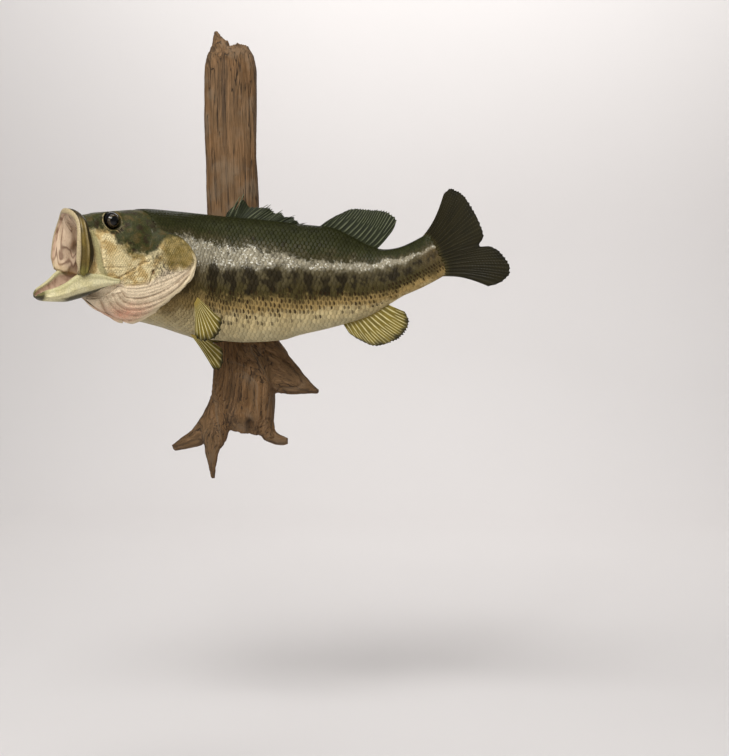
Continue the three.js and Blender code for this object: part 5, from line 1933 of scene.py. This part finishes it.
# ---------------------------------------------------------------- the driftwood
@dataclass
class Limb:
    """One limb of the wood: its centres in x, y, z with half width and half depth, in millimetres."""

    rings: tuple[tuple[float, float, float, float, float], ...]
    square: float = 0.9

    def centreline(self, share: Array) -> Array:
        """Centre and sizes along the limb, by share of its length."""
        rings = np.array(self.rings, float)
        length = lengths(rings[:, :3])
        return stack(*[np.interp(share * length[-1], length, rings[:, k]) for k in range(5)])

    def mesh(self) -> BMesh:
        """Sweeps the limb's oval along its centres."""

        def shape(u: Array, v: Array) -> Weave:
            """Places the limb's corners: u round it, v along it."""
            at = self.centreline(v)
            ahead, behind = self.centreline(np.minimum(v + 0.03, 1)), self.centreline(np.maximum(v - 0.03, 0))
            way = unit((ahead - behind)[:, :3] * [1, 0, 1])
            turn = 2 * np.pi * u
            side = stack(way[:, 2], 0, -way[:, 0]) * (at[:, 3] * power(np.cos(turn), self.square))[:, None]
            out = stack(0, 1, 0) * (at[:, 4] * power(np.sin(turn), self.square))[:, None]
            return Weave((at[:, :3] + side + out) * MM)

        return closed(28, max(6, 5 * len(self.rings)), shape)


BOARD = Limb(
    (
        (-3, -12, 306, 25, 13), (-1, -13, 300, 30, 17), (0.5, -13.5, 291, 33, 19), (2, -14, 274, 35.5, 20),
        (2, -15, 209, 36, 21), (3.5, -15, 155, 35, 21), (5.5, -16, 100, 35.5, 21), (8, -17, 0, 35, 22),
        (15, -18, -70, 37, 24), (21, -21, -115, 41, 28), (20, -23, -152, 42, 31), (16, -22, -182, 45, 28),
        (12, -20, -202, 34, 20),
    ),
    0.7,
)
SPLINTER = Limb(
    ((-13, -13, 284, 14, 11), (-12, -12.5, 309, 13, 9.5), (-15, -12, 318, 8, 7), (-18.5, -11, 329, 3, 3.5))
)
ROOTS = (
    Limb((
        (4, -24, -150, 22, 22), (-22, -24, -188, 15, 18), (-42, -22, -211, 13, 13), (-61, -20, -219, 9.5, 10),
        (-77, -18, -226, 5, 5),
    )),
    Limb((
        (-7, -30, -170, 18, 18), (-17, -34, -206, 18, 13), (-20.5, -35, -228, 10, 9),
        (-20.5, -34, -246, 6.5, 6.5), (-19.5, -33, -265, 3, 3),
    )),
    Limb((
        (44, -24, -160, 18, 22), (48, -26, -188, 15, 17), (54, -27, -206, 10, 12), (66, -26, -213, 8.5, 9),
        (75, -25, -214.5, 6.5, 7), (80, -25, -214.5, 4.5, 5),
    )),
    Limb((
        (30, -20, -99, 40, 21), (64, -19, -124, 31, 18), (92, -17, -139, 17, 14), (112, -14, -147, 6, 8),
        (120, -13, -150, 3, 4),
    )),
)
HOLLOW = Limb(((33, -56, -187, 4, 24), (33, -56, -196, 8, 26), (31, -56, -222, 12, 28)))


@dataclass
class Driftwood:
    """The driftwood: limbs melted into one, with grain carved along each and a flat back."""

    voxel: float = 0.0019
    limbs: tuple[Limb, ...] = (BOARD, SPLINTER, *ROOTS)
    samples: int = 60  # along each limb, where its grain is followed

    def melted(self) -> bpy.types.Mesh:
        """Melts the limbs into one even mesh, with the hollow cut out."""
        rough = bpy.data.meshes.new("rough_wood")
        joined([limb.mesh() for limb in self.limbs]).to_mesh(rough)
        wood = placed("rough_wood", rough)
        first = wood.modifiers.new("melt", "REMESH")
        first.mode, first.voxel_size, first.adaptivity = "VOXEL", self.voxel, 0.0
        evaluated = wood.evaluated_get(bpy.context.evaluated_depsgraph_get())
        mesh = bpy.data.meshes.new_from_object(evaluated)
        bpy.data.objects.remove(wood)
        return mesh

    def grain(self, spots: Array) -> Array:
        """Each corner's coordinates across and along the limb that it belongs to, in millimetres."""
        total, weight = np.zeros_like(spots), np.zeros(len(spots))
        for limb in self.limbs:
            line = limb.centreline(np.linspace(0, 1, self.samples))
            centre, radius = line[:, :3], np.maximum((line[:, 3] + line[:, 4]) / 2, 6)
            length = lengths(centre)
            nearest, reach = np.full(len(spots), 1e9), np.zeros(len(spots))
            offset = np.zeros_like(spots)
            for i in range(self.samples):
                away = spots - centre[i]
                distance = np.linalg.norm(away, axis=1) / radius[i]
                closer = distance < nearest
                nearest[closer] = distance[closer]
                reach[closer], offset[closer] = length[i], away[closer]
            way = unit(np.gradient(centre, axis=0))
            mean = unit(way.mean(axis=0)[None])[0]
            slide = offset @ mean
            flat = offset - slide[:, None] * mean
            share = 1 / np.maximum(nearest, 0.2) ** 6
            total += share[:, None] * stack(flat[:, 0], flat[:, 1], reach + slide)
            weight += share
        return total / weight[:, None]

    def build(self, paint: Material) -> Object:
        """Carves the grain, cuts the back flat and shows the wood."""
        mesh = self.melted()
        count = len(mesh.vertices)
        co, normal = np.empty(count * 3), np.empty(count * 3)
        mesh.vertices.foreach_get("co", co)
        mesh.vertices.foreach_get("normal", normal)
        spots, outward = co.reshape(-1, 3) / MM, normal.reshape(-1, 3)
        grain = self.grain(spots)
        furrow = ripple(grain * [0.075, 0.075, 0.006], 1.0, 4)
        fine = ripple(grain * [0.3, 0.3, 0.012] + 50, 1.0, 2)
        crack = -2.2 * hump(ripple(grain * [0.045, 0.045, 0.003] + 9, 1.0, 2), 0.05, 0.05)
        carve = 1.7 * furrow + 0.45 * fine + crack
        carve *= 1 - 0.75 * smoothstep(spots[:, 1], -4, 0)
        spots = spots + outward * carve[:, None] - outward * 0.6
        top = smoothstep(spots[:, 2], 286, 306) * fall(spots[:, 2], 316, 328)
        spots[:, 2] += top * (4 * ripple(stack(spots[:, 0] * 0.16, spots[:, 1] * 0.1, 0), 1.0, 3) - 0.5)
        for x, y, z, half, deep in HOLLOW.centreline(np.linspace(0, 1, 20)):
            away = (spots - [x, y, z]) / [half, deep, half * 1.4]
            inside = np.clip(1 - np.linalg.norm(away, axis=1), 0, 1)
            spots[:, 1] += inside * 6
        spots[:, 1] = np.minimum(spots[:, 1], 0)
        mesh.vertices.foreach_set("co", (spots * MM).ravel())
        keep_vectors(mesh, "grain", grain * CM)
        return shown(mesh, "driftwood_board", paint, Slot.WOOD, "driftwood")


# ---------------------------------------------------------------- the stage
@dataclass
class Studio:
    """A pale floor that curves up into a far backdrop, soft lights and the camera."""

    floor: float = -0.66
    near: float = -4.0  # the floor's front edge
    half_width: float = 6.0
    flat: float = 6.2  # length of the level part
    bend: float = 1.6  # length of the part that curves up, about a radius of 1 m
    whole: float = 11.0
    camera_at: tuple[float, float, float] = (0.3161, -1.6868, -0.0670)
    looks_at: tuple[float, float, float] = (0.1794, 0.0, -0.1318)
    lens: float = 60.3
    air_tint: tuple[float, float, float, float] = (1.0, 0.99, 0.985, 1.0)
    air_light: float = 0.22

    def sweep(self) -> None:
        """Makes the floor and backdrop as one curved sheet."""

        def shape(u: Array, v: Array) -> Weave:
            """Places the sheet's corners."""
            path = v * self.whole
            turn = np.clip((path - self.flat) / self.bend, 0, 1) * np.pi / 2
            y = self.near + np.minimum(path, self.flat) + np.sin(turn)
            z = self.floor + (1 - np.cos(turn)) + np.maximum(path - (self.flat + self.bend), 0)
            return Weave(stack(lerp(-self.half_width, self.half_width, u), y, z))

        mesh = bpy.data.meshes.new("pale_sweep")
        bm = woven(4, 80, shape)
        bmesh.ops.recalc_face_normals(bm, faces=bm.faces)
        bm.to_mesh(mesh)
        bm.free()
        mesh.polygons.foreach_set("use_smooth", np.ones(len(mesh.polygons), bool))
        mesh.materials.append(StagePaint().material())
        placed("pale_sweep", mesh)

    def turn(self, made: Object, spot: Sequence[float], aim: Sequence[float]) -> None:
        """Puts a light or camera at a place and turns it to another."""
        made.location = spot
        made.rotation_euler = (Vector(aim) - Vector(spot)).to_track_quat("-Z", "Y").to_euler()

    def light(
        self, name: str, spot: tuple[float, float, float], size: tuple[float, float], power_watts: float,
        aim: tuple[float, float, float] = (0.08, -0.05, 0.0),
    ) -> None:
        """Hangs one soft light that faces the fish, or another place."""
        lamp = bpy.data.lights.new(name, "AREA")
        lamp.shape, lamp.size, lamp.size_y, lamp.energy = "RECTANGLE", *size, power_watts
        self.turn(placed(name, lamp), spot, aim)

    def build(self) -> None:
        """Sets floor, lights, air and camera."""
        bpy.context.scene.view_settings.view_transform = "Standard"
        self.sweep()
        self.light("key", (-0.25, -2.0, 1.75), (1.5, 0.7), 74)
        self.light("overhead", (0.2, -0.35, 1.9), (1.2, 0.5), 9)
        self.light("front_fill", (-0.9, -2.6, 0.3), (1.2, 1.2), 9)
        self.light("rear_fill", (0.6, 2.2, 1.3), (2.0, 1.4), 9)
        self.light("backdrop_wash", (0.2, 1.6, 2.4), (3.0, 1.0), 56, (0.1, 4.6, 0.4))
        world = bpy.data.worlds.new("soft_air")
        bpy.context.scene.world = world
        world.use_nodes = True
        air = world.node_tree.nodes["Background"].inputs
        air["Color"].default_value = self.air_tint
        air["Strength"].default_value = self.air_light
        camera = bpy.data.cameras.new("view")
        camera.lens, camera.sensor_width, camera.sensor_fit = self.lens, 36.0, "AUTO"
        made = placed("view", camera)
        self.turn(made, self.camera_at, self.looks_at)
        bpy.context.scene.camera = made


def main() -> None:
    """Builds the bass around the frame."""
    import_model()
    Studio().build()
    log.info("studio is set")
    fish = FishPaint()
    BodySkin().build(fish.skin("bass_skin"))
    coat = ScaleCoat(LATTICE)
    scales = fish.scales()
    for side in Side:
        name = side.name.lower()
        coat.build(side, 60, 265, f"scales_front_{name}", scales)
        coat.build(side, 265, 500, f"scales_rear_{name}", scales)
    UpperJaw().build(UPPER_JAW.material())
    LowerJaw().build(LOWER_JAW.material())
    Throat().build(fish.skin("throat_skin"))
    Tongue().build(MouthPaint().material())
    gill, glass = fish.gill("gill_cover"), EyePaint().material()
    for side in Side:
        GillCover(side).build(gill)
        FaceScales(side).build(gill)
        GlassEye(side).build(glass)
    make_fins(DARK_FIN.material(), TAIL_FIN.material(), PALE_FIN.material())
    Driftwood().build(WoodPaint().material())


if __name__ == "__main__":
    main()
